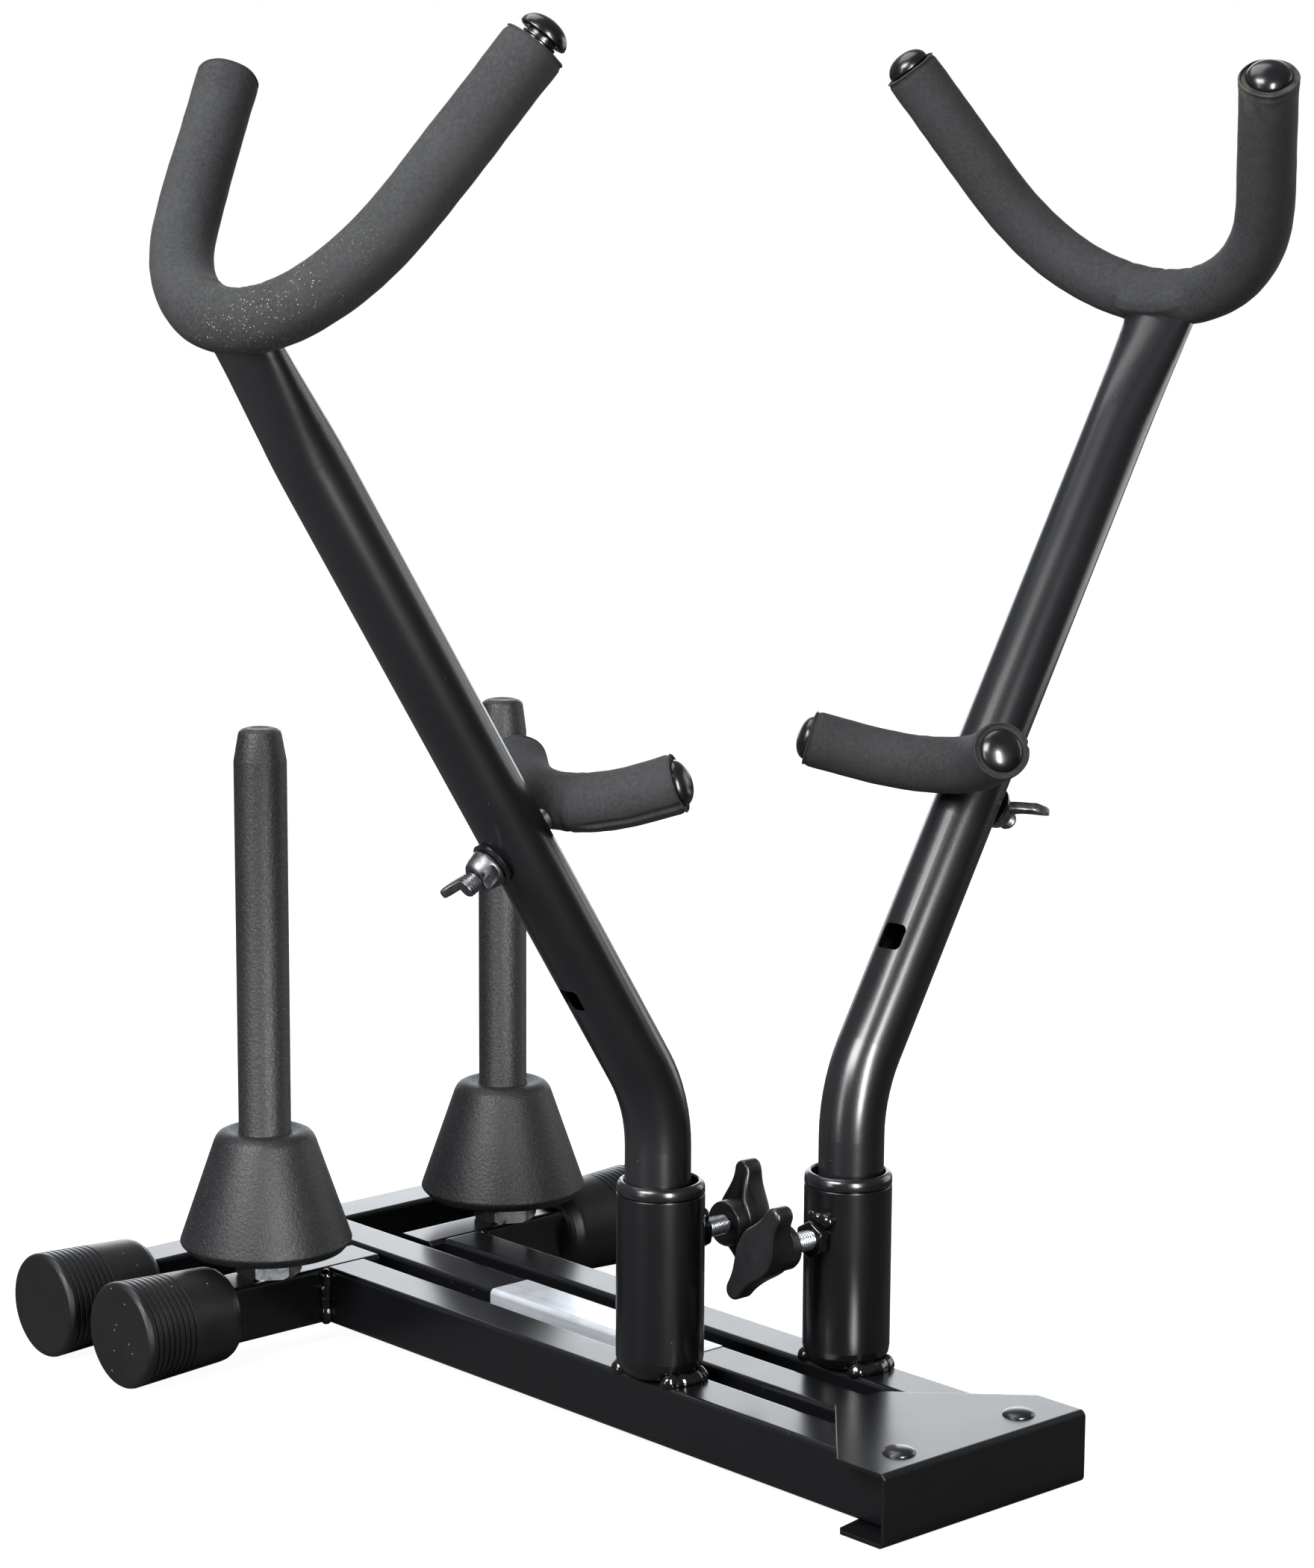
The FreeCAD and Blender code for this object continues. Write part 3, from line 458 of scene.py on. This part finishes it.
def wing_nut(side):
    centre = side.station(BOLT_STATION[side.name])
    out = side.inner_normal * -1
    base = centre + out * (ARM_R + WASHER_H + 0.3)
    piece = Piece(side.name + "_wing_nut_body")
    profile = [(0.0, 4.1), (0.0, 6.9), (0.3, 7.4), (1.2, 7.7), (2.0, 7.5)]
    profile += [(4.5, 6.9), (6.6, 6.1), (7.5, 5.2), (7.7, 4.1)]
    piece.turned(profile, base, out, 56)
    turn = radians(WING_TURN[side.name])
    for sign in (-1, 1):
        sideways = (side.across * cos(turn) + side.along * sin(turn)) * sign
        thick = out.cross(sideways)
        rings = []
        steps = 22
        slope = (sideways * 0.35 + out * 0.94).normalized()
        for i in range(steps + 1):
            t = i / steps
            reach = 3.5 + (WING_SPAN - 3.5) * t
            lift = 4.0 + (WING_RISE - 7.8) * smooth(t * 1.05) * t + 0.6 * t
            close = (max(0.0, 1 - ((t - 0.90) / 0.10) ** 4)) ** 0.25 if t > 0.90 else 1.0
            half_thick = 2.0 * (0.55 + 0.45 * close)
            half_tall = (3.2 + 0.8 * smooth(t)) * (0.55 + 0.45 * close)
            spot = base + sideways * reach + out * lift
            rings.append(superellipse(spot, thick, slope, half_thick, half_tall, 4.0, 32))
        piece.rings(rings)
    return piece.make(side.name + "_wing_nut", "dark_zinc", (side.name + "_wing_nut",), sharp=50)


def yoke_bolt(side):
    """Carriage bolt with a threaded tail."""
    centre = side.station(BOLT_STATION[side.name])
    inner = side.inner_normal
    piece = Piece(side.name + "_yoke_bolt_thread")
    thread(piece, centre, inner * -1, STUD_R, THREAD_PITCH, -6.0, BOLT_END)
    head = YOKE_STANDOFF + 7.0 - 1.2
    profile = [(4.0, STUD_R), (head, STUD_R), (head, 6.1), (head + 0.3, 6.4)]
    profile += arc(head + 0.3, 6.4, head + 2.6, 0.4, 8)
    piece.turned(profile, centre, inner, 48)
    return piece.make(side.name + "_arm", "dark_zinc", (side.name + "_yoke_bolt",), sharp=60)


def washer(side):
    centre = side.station(BOLT_STATION[side.name])
    out = side.inner_normal * -1
    piece = Piece(side.name + "_washer_ring")
    profile = [(0.15, 4.1), (0.0, 4.5), (0.0, WASHER_R - 0.4), (0.3, WASHER_R), (1.2, WASHER_R)]
    profile += [(WASHER_H, WASHER_R - 0.5), (WASHER_H, 4.5), (1.4, 4.1)]
    piece.turned(profile, centre + out * ARM_R, out, 56, closed=True)
    return piece.make(side.name + "_arm", "cap_plastic", (side.name + "_yoke_washer",), sharp=40)


def collar(side):
    """Glossy bush with a rolled lip, looser round the arm on its inner side."""
    top = SOCKET_TOP + 0.3
    bore = ARM_R + ARM_OFFSET + 0.05
    lip = 4.8
    skirt = SOCKET_BORE_R
    profile = [(-13.5, bore + 0.3), (-13.5, skirt - 0.3), (-13.1, skirt), (-0.2, skirt)]
    profile += [(0.0, skirt + 0.3), (0.0, SOCKET_R - 0.35), (0.15, SOCKET_R - 0.08), (0.5, SOCKET_R)]
    profile += arc(lip - 3.1, SOCKET_R, lip, SOCKET_R - 2.0, 9)
    profile += [(lip - 0.05, bore + 0.45), (lip - 0.35, bore + 0.12), (lip - 1.0, bore)]
    piece = Piece(side.name + "_collar_lip")
    piece.turned(profile, side.socket + UP * top, UP, 80, closed=True)
    return piece.make(side.name + "_collar", "gloss_collar", (side.name + "_collar",), sharp=55)


def peg(side):
    """Cone with a crisp foot band and a seat round the straight rod."""
    foot, band, rim, shoulder, seat = 36.4, 40.6, 35.8, 87.3, PEG_ROD_R[side.name]
    profile = [(27.4, 1.0), (27.4, 7.8), (foot, 7.8), (foot, 32.0), (foot + 0.3, 32.9), (foot + 0.9, 33.4)]
    profile += [(band - 1.1, rim - 0.35), (band - 0.4, rim - 0.05), (band, rim), (band + 0.5, rim - 0.1)]
    profile += [(shoulder - 4.2, 21.2), (shoulder - 2.6, 20.4), (shoulder - 1.2, 19.2)]
    profile += [(shoulder - 0.35, 17.6), (shoulder, 15.8), (shoulder - 0.1, 14.8)]
    profile += [(shoulder - 0.5, 12.6), (shoulder - 0.7, seat + 0.3)]
    profile += [(shoulder - 0.2, seat), (242.2, seat), (243.0, seat - 0.12), (253.4, 8.95), (254.6, 8.5)]
    profile += [(255.4, 7.4), (255.85, 6.2), (256.0, 4.6), (255.7, 3.6), (255.6, 0.5)]
    piece = Piece(side.name + "_peg_body")
    piece.turned(profile, Vector((side.sign * PEG_X, PEG_Y, 0)), UP, 96)
    return piece.make(side.name + "_peg", "peg_plastic", (side.name + "_peg",), sharp=32)


def melted(node, body, cell, rough, grow):
    """Weld metal flowed together: the node's own beads remeshed and made uneven."""
    mesh = nodes[node].data.copy()
    obj = bpy.data.objects.new(node + "_flow", mesh)
    bpy.context.scene.collection.objects.link(obj)
    modifier = obj.modifiers.new("fuse", "REMESH")
    modifier.mode = "VOXEL"
    modifier.voxel_size = cell / 1000
    depsgraph = bpy.context.evaluated_depsgraph_get()
    fused = bpy.data.meshes.new_from_object(obj.evaluated_get(depsgraph))
    obj.modifiers.clear()
    obj.data = fused
    shifted = []
    for vertex in fused.vertices:
        place = vertex.co * 1000
        uneven = rough * noise.noise(place * 0.22) + rough * 0.3 * noise.noise(place * 0.5)
        shifted.append(vertex.co + vertex.normal * (uneven + grow) / 1000)
    for vertex, place in zip(fused.vertices, shifted):
        vertex.co = place
    smoothing = obj.modifiers.new("flow", "SMOOTH")
    smoothing.factor = 0.5
    smoothing.iterations = 12
    fused.polygons.foreach_set("use_smooth", [True] * len(fused.polygons))
    fused.materials.clear()
    fused.materials.append(MATERIALS["weld_paint"])
    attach(obj, body)
    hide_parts(node)
    return obj


# ---------------------------------------------------------------- materials
class Finish:
    """A procedural material, patterned in metres on the object's own coordinates."""

    def __init__(self, name, roughness, metallic=0.0, specular=0.5):
        self.material = bpy.data.materials.new(name)
        self.material.use_nodes = True
        self.tree = self.material.node_tree
        self.shader = self.tree.nodes["Principled BSDF"]
        self.shader.inputs["Roughness"].default_value = roughness
        self.shader.inputs["Metallic"].default_value = metallic
        self.shader.inputs["Specular IOR Level"].default_value = specular
        self.place = self.tree.nodes.new("ShaderNodeTexCoord").outputs["Object"]
        self.normal = None

    def link(self, a, b):
        self.tree.links.new(a, b)

    def noise(self, scale, detail=3.0, rough=0.5, stretch=None):
        node = self.tree.nodes.new("ShaderNodeTexNoise")
        node.inputs["Scale"].default_value = scale
        node.inputs["Detail"].default_value = detail
        node.inputs["Roughness"].default_value = rough
        place = self.place
        if stretch:
            mapping = self.tree.nodes.new("ShaderNodeMapping")
            mapping.inputs["Scale"].default_value = stretch
            self.link(place, mapping.inputs["Vector"])
            place = mapping.outputs["Vector"]
        self.link(place, node.inputs["Vector"])
        return node.outputs["Fac"]

    def cells(self, scale, output="Distance"):
        node = self.tree.nodes.new("ShaderNodeTexVoronoi")
        node.inputs["Scale"].default_value = scale
        self.link(self.place, node.inputs["Vector"])
        return node.outputs[output]

    def within(self, centre, inner, outer):
        """1 inside the inner distance from a place in metres, 0 past the outer one."""
        node = self.tree.nodes.new("ShaderNodeVectorMath")
        node.operation = "DISTANCE"
        node.inputs[1].default_value = centre
        self.link(self.place, node.inputs[0])
        return self.ranged(node.outputs["Value"], inner, outer, 1.0, 0.0)

    def ranged(self, value, low, high, a, b):
        node = self.tree.nodes.new("ShaderNodeMapRange")
        node.inputs["From Min"].default_value = low
        node.inputs["From Max"].default_value = high
        node.inputs["To Min"].default_value = a
        node.inputs["To Max"].default_value = b
        self.link(value, node.inputs["Value"])
        return node.outputs["Result"]

    def times(self, a, b):
        node = self.tree.nodes.new("ShaderNodeMath")
        node.operation = "MULTIPLY"
        self.link(a, node.inputs[0])
        self.link(b, node.inputs[1])
        return node.outputs["Value"]

    def mix(self, factor, a, b):
        node = self.tree.nodes.new("ShaderNodeMix")
        node.data_type = "RGBA"
        self.link(factor, node.inputs["Factor"])
        for socket, value in ((node.inputs[6], a), (node.inputs[7], b)):
            if isinstance(value, tuple):
                socket.default_value = (*value, 1.0)
            else:
                self.link(value, socket)
        return node.outputs[2]

    def colour(self, socket):
        self.link(socket, self.shader.inputs["Base Color"])

    def roughness(self, socket):
        self.link(socket, self.shader.inputs["Roughness"])

    def bump(self, height, depth, strength=1.0):
        node = self.tree.nodes.new("ShaderNodeBump")
        node.inputs["Distance"].default_value = depth
        node.inputs["Strength"].default_value = strength
        self.link(height, node.inputs["Height"])
        if self.normal:
            self.link(self.normal, node.inputs["Normal"])
        self.normal = node.outputs["Normal"]
        self.link(self.normal, self.shader.inputs["Normal"])

    def specks(self, base, tint, scale, size, share):
        """Scattered dust: a dot in some of the cells."""
        dot = self.ranged(self.cells(scale), size * 0.6, size, 1.0, 0.0)
        node = self.tree.nodes.new("ShaderNodeSeparateColor")
        self.link(self.cells(scale, "Color"), node.inputs["Color"])
        some = self.ranged(node.outputs["Red"], 1 - share, 1 - share + 0.02, 0.0, 1.0)
        return self.mix(self.times(dot, some), base, tint)


def paint(name, tone, roughness, spread, peel, dust=0.02, edge=0.0):
    """Powder coat: soft orange peel, slight gloss variation, a little dust, rounded edges."""
    f = Finish(name, roughness)
    if edge:
        bevel = f.tree.nodes.new("ShaderNodeBevel")
        bevel.samples = 6
        bevel.inputs["Radius"].default_value = edge
        f.normal = bevel.outputs["Normal"]
        f.link(f.normal, f.shader.inputs["Normal"])
    blotch = f.ranged(f.noise(22, 4), 0.3, 0.7, 0.0, 1.0)
    base = f.mix(blotch, tuple(c * 0.9 for c in tone), tuple(c * 1.1 for c in tone))
    f.colour(f.specks(base, (0.20, 0.20, 0.20), 480, 0.13, dust))
    f.roughness(f.ranged(f.noise(45, 5, 0.6), 0.3, 0.7, roughness - spread, roughness + spread))
    f.bump(f.noise(900, 2), 0.00001 * peel, 0.5)
    f.bump(f.noise(160, 2), 0.00001 * peel, 0.4)
    return f.material


def foam():
    f = Finish("foam", 0.85, specular=0.3)
    mottle = f.ranged(f.noise(38, 6, 0.62), 0.34, 0.68, 0.0, 1.0)
    fine = f.ranged(f.noise(700, 3, 0.7), 0.35, 0.8, 0.0, 1.0)
    base = f.mix(mottle, (0.0110, 0.0115, 0.0127), (0.0218, 0.0225, 0.0242))
    base = f.mix(fine, base, (0.037, 0.038, 0.040))
    bend = Side("left", -1)
    floury = placed(bend.station(ARM_LEAN_LEN) - bend.across * 26)
    dusty = f.times(f.within(floury, 0.022, 0.058), f.ranged(f.noise(45, 3), 0.40, 0.55, 0.0, 1.0))
    dusted = f.specks(base, (0.30, 0.29, 0.24), 900, 0.26, 0.5)
    base = f.specks(base, (0.16, 0.16, 0.15), 650, 0.16, 0.008)
    rim = Side("right", 1)
    rim_at = Curve(rim.fork_frame(), FORK["right"])
    ends = [rim_at.at(rim_at.low)[0], rim_at.at(rim_at.high)[0]]
    near_rim = placed(min(ends, key=lambda p: p.y))
    rim_dust = f.times(f.within(near_rim, 0.010, 0.0175), f.ranged(f.noise(160, 3), 0.42, 0.55, 0.0, 1.0))
    base = f.mix(rim_dust, base, (0.060, 0.057, 0.046))
    f.colour(f.mix(dusty, base, dusted))
    f.bump(f.cells(1300), 0.00008, 0.4)
    f.bump(f.noise(420, 4, 0.65), 0.00016, 0.5)
    return f.material


def grained_plastic():
    f = Finish("peg_plastic", 0.50, specular=0.36)
    # painted glints: pale specks in the base colour stand in for light glinting off the grained plastic
    painted_glints = f.ranged(f.noise(1500, 2, 0.8), 0.55, 0.70, 0.0, 1.0)
    blotch = f.ranged(f.noise(30, 4), 0.3, 0.7, 0.0, 1.0)
    base = f.mix(blotch, (0.0050, 0.0052, 0.0062), (0.0080, 0.0082, 0.0095))
    f.colour(f.mix(painted_glints, base, (0.052, 0.053, 0.058)))
    f.roughness(f.ranged(f.noise(1600, 2, 0.6), 0.3, 0.7, 0.40, 0.60))
    f.bump(f.noise(800, 3, 0.6), 0.00030, 0.9)
    return f.material


def rubber():
    f = Finish("foot_rubber", 0.40, specular=0.40)
    blotch = f.ranged(f.noise(26, 5, 0.6), 0.32, 0.7, 0.0, 1.0)
    base = f.mix(blotch, (0.0042, 0.0043, 0.0048), (0.0072, 0.0073, 0.0080))
    f.colour(f.specks(base, (0.16, 0.16, 0.16), 300, 0.14, 0.06))
    f.roughness(f.ranged(f.noise(60, 4), 0.3, 0.7, 0.34, 0.44))
    f.bump(f.noise(1200, 2), 0.00003, 0.7)
    return f.material


def moulded(name, tone, roughness, texture):
    f = Finish(name, roughness)
    blotch = f.ranged(f.noise(60, 4), 0.3, 0.7, 0.0, 1.0)
    f.colour(f.mix(blotch, tone, tuple(c * 1.5 for c in tone)))
    f.roughness(f.ranged(f.noise(140, 4), 0.3, 0.7, roughness * 0.8, roughness * 1.25))
    f.bump(f.noise(1400, 2), 0.00003 * texture, 0.8)
    return f.material


def metal(name, dark, light, roughness):
    f = Finish(name, roughness, metallic=1.0)
    streak = f.ranged(f.noise(500, 4, 0.6), 0.3, 0.7, 0.0, 1.0)
    f.colour(f.mix(streak, dark, light))
    f.roughness(f.ranged(f.noise(240, 4, 0.6), 0.3, 0.7, roughness * 0.75, roughness * 1.3))
    f.bump(f.noise(800, 3), 0.00001, 0.6)
    return f.material


def foil():
    """Silver label: brushed foil."""
    f = Finish("label_silver", 0.38, metallic=0.55)
    grain = f.ranged(f.noise(260, 4, 0.6, (1.0, 0.06, 1.0)), 0.3, 0.7, 0.0, 1.0)
    f.colour(f.mix(grain, (0.50, 0.53, 0.58), (0.66, 0.69, 0.73)))
    f.roughness(f.ranged(f.noise(90, 3), 0.3, 0.7, 0.30, 0.45))
    f.bump(f.noise(700, 2), 0.00001, 0.7)
    return f.material


MATERIALS = {
    "black_paint": paint("black_paint", (0.0038, 0.0041, 0.0049), 0.24, 0.015, 1.0, edge=0.0007),
    "arm_paint": paint("arm_paint", (0.0105, 0.0109, 0.0126), 0.27, 0.010, 0.25),
    "weld_paint": paint("weld_paint", (0.005, 0.005, 0.0055), 0.13, 0.03, 1.0),
    "rivet_paint": paint("rivet_paint", (0.008, 0.008, 0.009), 0.27, 0.03, 0.6),
    "label_silver": foil(),
    "foot_rubber": rubber(),
    "peg_plastic": grained_plastic(),
    "gloss_collar": moulded("gloss_collar", (0.007, 0.0072, 0.0085), 0.22, 0.5),
    "foam": foam(),
    "cap_plastic": moulded("cap_plastic", (0.0045, 0.0046, 0.0056), 0.24, 0.2),
    "knob_plastic": moulded("knob_plastic", (0.008, 0.008, 0.0092), 0.33, 0.6),
    "zinc_steel": metal("zinc_steel", (0.20, 0.21, 0.22), (0.36, 0.37, 0.38), 0.30),
    "dark_zinc": metal("dark_zinc", (0.085, 0.087, 0.092), (0.17, 0.173, 0.18), 0.36),
}

slots = {part["node"]: part["material_slot"] for part in frame["record"]["subparts"]}
for name, node in nodes.items():
    node.data.materials.clear()
    node.data.materials.append(MATERIALS[slots[name]])

# ---------------------------------------------------------------- detailed pieces, both sides
FORK_CREASES = {
    "left": [(-7, 1.1, 0.8, 0.0, 0.45), (6, 1.4, 0.55, 0.2, 0.5), (-22, 1.8, 0.45, 0.1, 0.5),
             (24, 2.0, 0.4, -0.2, 0.5)],
    "right": [(4, 1.6, 0.5, 0.0, 0.5), (-14, 2.0, 0.4, 0.1, 0.5), (20, 2.2, 0.35, 0.0, 0.5)],
}
YOKE_CREASES = {
    "left": [(-6, 1.0, 0.9, pi, 0.55), (9, 1.2, 0.6, pi - 0.5, 0.5), (-16, 1.4, 0.5, 0.4, 0.5)],
    "right": [(-5, 1.2, 0.6, pi, 0.5), (11, 1.6, 0.45, 0.0, 0.5)],
}
YOKE_SEAM = {"left": (radians(162), -60, -11, 0.9), "right": (radians(150), -60, -8, 0.6)}
for name, sign in (("left", -1), ("right", 1)):
    side = Side(name, sign)
    arm = name + "_arm"
    fork = Curve(side.fork_frame(), FORK[name])
    down = side.along * -1
    behind = fork.across.cross(fork.reach)
    over_arm = [atan2(d.dot(behind), d.dot(fork.reach)) for d in (down, side.inner_normal)]
    sleeve(name + "_fork_sleeve", fork, FORK_FOAM_R, FORK_BORE_R, FORK[name], "foam", arm,
           name + "_fork_foam", FORK_CREASES[name], cover=over_arm if name == "right" else None)
    end_caps(name + "_fork_domes", fork, FORK_CAP_R, FORK_CAP_H, FORK_PLUG_R, FORK_TRIM,
             FORK[name]["seat"], "cap_plastic", arm, name + "_fork_caps")
    yoke = Curve(side.yoke_frame(), YOKE[name])
    sleeve(name + "_yoke_sleeve", yoke, YOKE_FOAM_R, YOKE_BORE_R, YOKE[name], "foam", arm,
           name + "_yoke_foam", YOKE_CREASES[name], press=(0, 9, 1.0, pi), seam=YOKE_SEAM[name])
    end_caps(name + "_yoke_domes", yoke, YOKE_CAP_R, YOKE_CAP_H, YOKE_PLUG_R, YOKE_TRIM,
             YOKE[name]["seat"], "cap_plastic", arm, name + "_yoke_caps")
    clamp_knob(side)
    knob_stud(side)
    wing_nut(side)
    yoke_bolt(side)
    washer(side)
    collar(side)
    peg(side)
    melted(name + "_welds", name + "_frame", 0.45, 1.0, 0.7)
    melted(name + "_weld_nut", name + "_frame", 0.4, 0.25, 0.1)

melted("base_welds", "base", 0.45, 0.9, 0.35)

# ---------------------------------------------------------------- floor, light and camera
CAMERA_AZ = radians(-42.642)
CAMERA_EL = radians(10.351)
CAMERA_ROLL = radians(0.388)
CAMERA_DISTANCE = 1439.563
CAMERA_AIM = Vector((0, 120, 200))
CAMERA_SLIDE = (33.395, -31.971)
LENS_RATIO = 5101.0 / 2100      # focal length over picture height, both in pixels
SENSOR = 36.0
SHIFT = (-0.01233, 0.03738)

heading = pi / 2 + CAMERA_AZ
look = Vector((cos(heading) * cos(CAMERA_EL), sin(heading) * cos(CAMERA_EL), -sin(CAMERA_EL)))
right = Vector((sin(heading), -cos(heading), 0))
above = right.cross(look)
eye = CAMERA_AIM - look * CAMERA_DISTANCE - right * CAMERA_SLIDE[0] - above * CAMERA_SLIDE[1]
tilt_right = right * cos(CAMERA_ROLL) + above * sin(CAMERA_ROLL)
tilt_up = above * cos(CAMERA_ROLL) - right * sin(CAMERA_ROLL)
stance = Matrix.Rotation(STANCE, 3, "X")
basis = Matrix((stance @ tilt_right, stance @ tilt_up, stance @ -look)).transposed()

camera_data = bpy.data.cameras.new("camera")
camera_data.sensor_fit = "AUTO"
camera_data.sensor_width = SENSOR
camera_data.lens = SENSOR * LENS_RATIO
camera_data.shift_x, camera_data.shift_y = SHIFT
camera_data.clip_start = 0.05
camera = bpy.data.objects.new("camera", camera_data)
camera.matrix_world = Matrix.Translation(placed(eye)) @ basis.to_4x4()
bpy.context.scene.collection.objects.link(camera)
bpy.context.scene.camera = camera
bpy.context.scene.view_settings.view_transform = "Standard"

FLOOR = 6.0
floor_mesh = bpy.data.meshes.new("floor")
corners = [(x * FLOOR, y * FLOOR, 0) for x, y in ((-1, -1), (1, -1), (1, 1), (-1, 1))]
floor_mesh.from_pydata(corners, [], [(0, 1, 2, 3)])
floor = bpy.data.objects.new("floor", floor_mesh)
bpy.context.scene.collection.objects.link(floor)
floor_material = bpy.data.materials.new("floor")
floor_material.use_nodes = True
tree = floor_material.node_tree
tree.nodes.clear()
output = tree.nodes.new("ShaderNodeOutputMaterial")
path = tree.nodes.new("ShaderNodeLightPath")
matte = tree.nodes.new("ShaderNodeBsdfDiffuse")
matte.inputs["Color"].default_value = (0.35, 0.35, 0.35, 1)
glow = tree.nodes.new("ShaderNodeEmission")
glow.inputs["Strength"].default_value = 0.95
shade = tree.nodes.new("ShaderNodeBsdfDiffuse")
shade.inputs["Color"].default_value = (0.105, 0.105, 0.105, 1)
lit = tree.nodes.new("ShaderNodeAddShader")
tree.links.new(matte.outputs[0], lit.inputs[0])
tree.links.new(glow.outputs[0], lit.inputs[1])
choose = tree.nodes.new("ShaderNodeMixShader")
tree.links.new(path.outputs["Is Camera Ray"], choose.inputs["Fac"])
tree.links.new(shade.outputs[0], choose.inputs[1])
tree.links.new(lit.outputs[0], choose.inputs[2])
tree.links.new(choose.outputs[0], output.inputs["Surface"])
floor_mesh.materials.append(floor_material)

world = bpy.data.worlds.new("studio")
bpy.context.scene.world = world
world.use_nodes = True
tree = world.node_tree
tree.nodes.clear()
output = tree.nodes.new("ShaderNodeOutputWorld")
path = tree.nodes.new("ShaderNodeLightPath")
plain = tree.nodes.new("ShaderNodeBackground")
plain.inputs["Color"].default_value = (1, 1, 1, 1)
plain.inputs["Strength"].default_value = 1.0
coords = tree.nodes.new("ShaderNodeTexCoord")
backdrop = tree.nodes.new("ShaderNodeVectorMath")
backdrop.operation = "DOT_PRODUCT"
backdrop.inputs[1].default_value = (cos(heading), sin(heading), 0)
tree.links.new(coords.outputs["Generated"], backdrop.inputs[0])
gradient = tree.nodes.new("ShaderNodeMapRange")
gradient.interpolation_type = "SMOOTHSTEP"
gradient.inputs["From Min"].default_value = 0.84
gradient.inputs["From Max"].default_value = 0.97
gradient.inputs["To Min"].default_value = 0.22
gradient.inputs["To Max"].default_value = 3.8
tree.links.new(backdrop.outputs["Value"], gradient.inputs["Value"])
mirror = tree.nodes.new("ShaderNodeBackground")
mirror.inputs["Color"].default_value = (0.92, 0.96, 1.0, 1)
tree.links.new(gradient.outputs["Result"], mirror.inputs["Strength"])
first = tree.nodes.new("ShaderNodeMixShader")
tree.links.new(path.outputs["Is Camera Ray"], first.inputs["Fac"])
tree.links.new(mirror.outputs[0], first.inputs[1])
tree.links.new(plain.outputs[0], first.inputs[2])
tree.links.new(first.outputs[0], output.inputs["Surface"])


def softbox(name, place, aim, width, height, watts, matt=True):
    data = bpy.data.lights.new(name, "AREA")
    data.shape = "RECTANGLE"
    data.size = width
    data.size_y = height
    data.energy = watts
    obj = bpy.data.objects.new(name, data)
    obj.location = place
    obj.rotation_euler = (aim - place).to_track_quat("-Z", "Y").to_euler()
    obj.visible_diffuse = matt
    bpy.context.scene.collection.objects.link(obj)


middle = Vector((0, 0, 0.22))
front = Vector((-cos(heading), -sin(heading), 0))


def around(bearing, distance, height):
    """A place that many degrees to the right of the camera, seen from the stand."""
    a = radians(bearing)
    return Vector((0, 0, height)) + (front * cos(a) + right * sin(a)) * distance


softbox("key", around(-40, 1.45, 1.25), middle, 0.9, 0.72, 62)
softbox("strip_left", around(-46, 1.3, 0.40), around(-46, 0, 0.30), 0.22, 0.8, 6, matt=False)
softbox("strip_front", around(22, 1.1, 0.36), around(22, 0, 0.28), 0.18, 0.66, 25, matt=False)
softbox("strip_right", around(120, 1.3, 0.4), around(120, 0, 0.3), 0.8, 0.8, 5, matt=False)
softbox("top", middle + UP * 1.5 - front * 0.35 - right * 0.35, middle, 1.1, 1.1, 14)
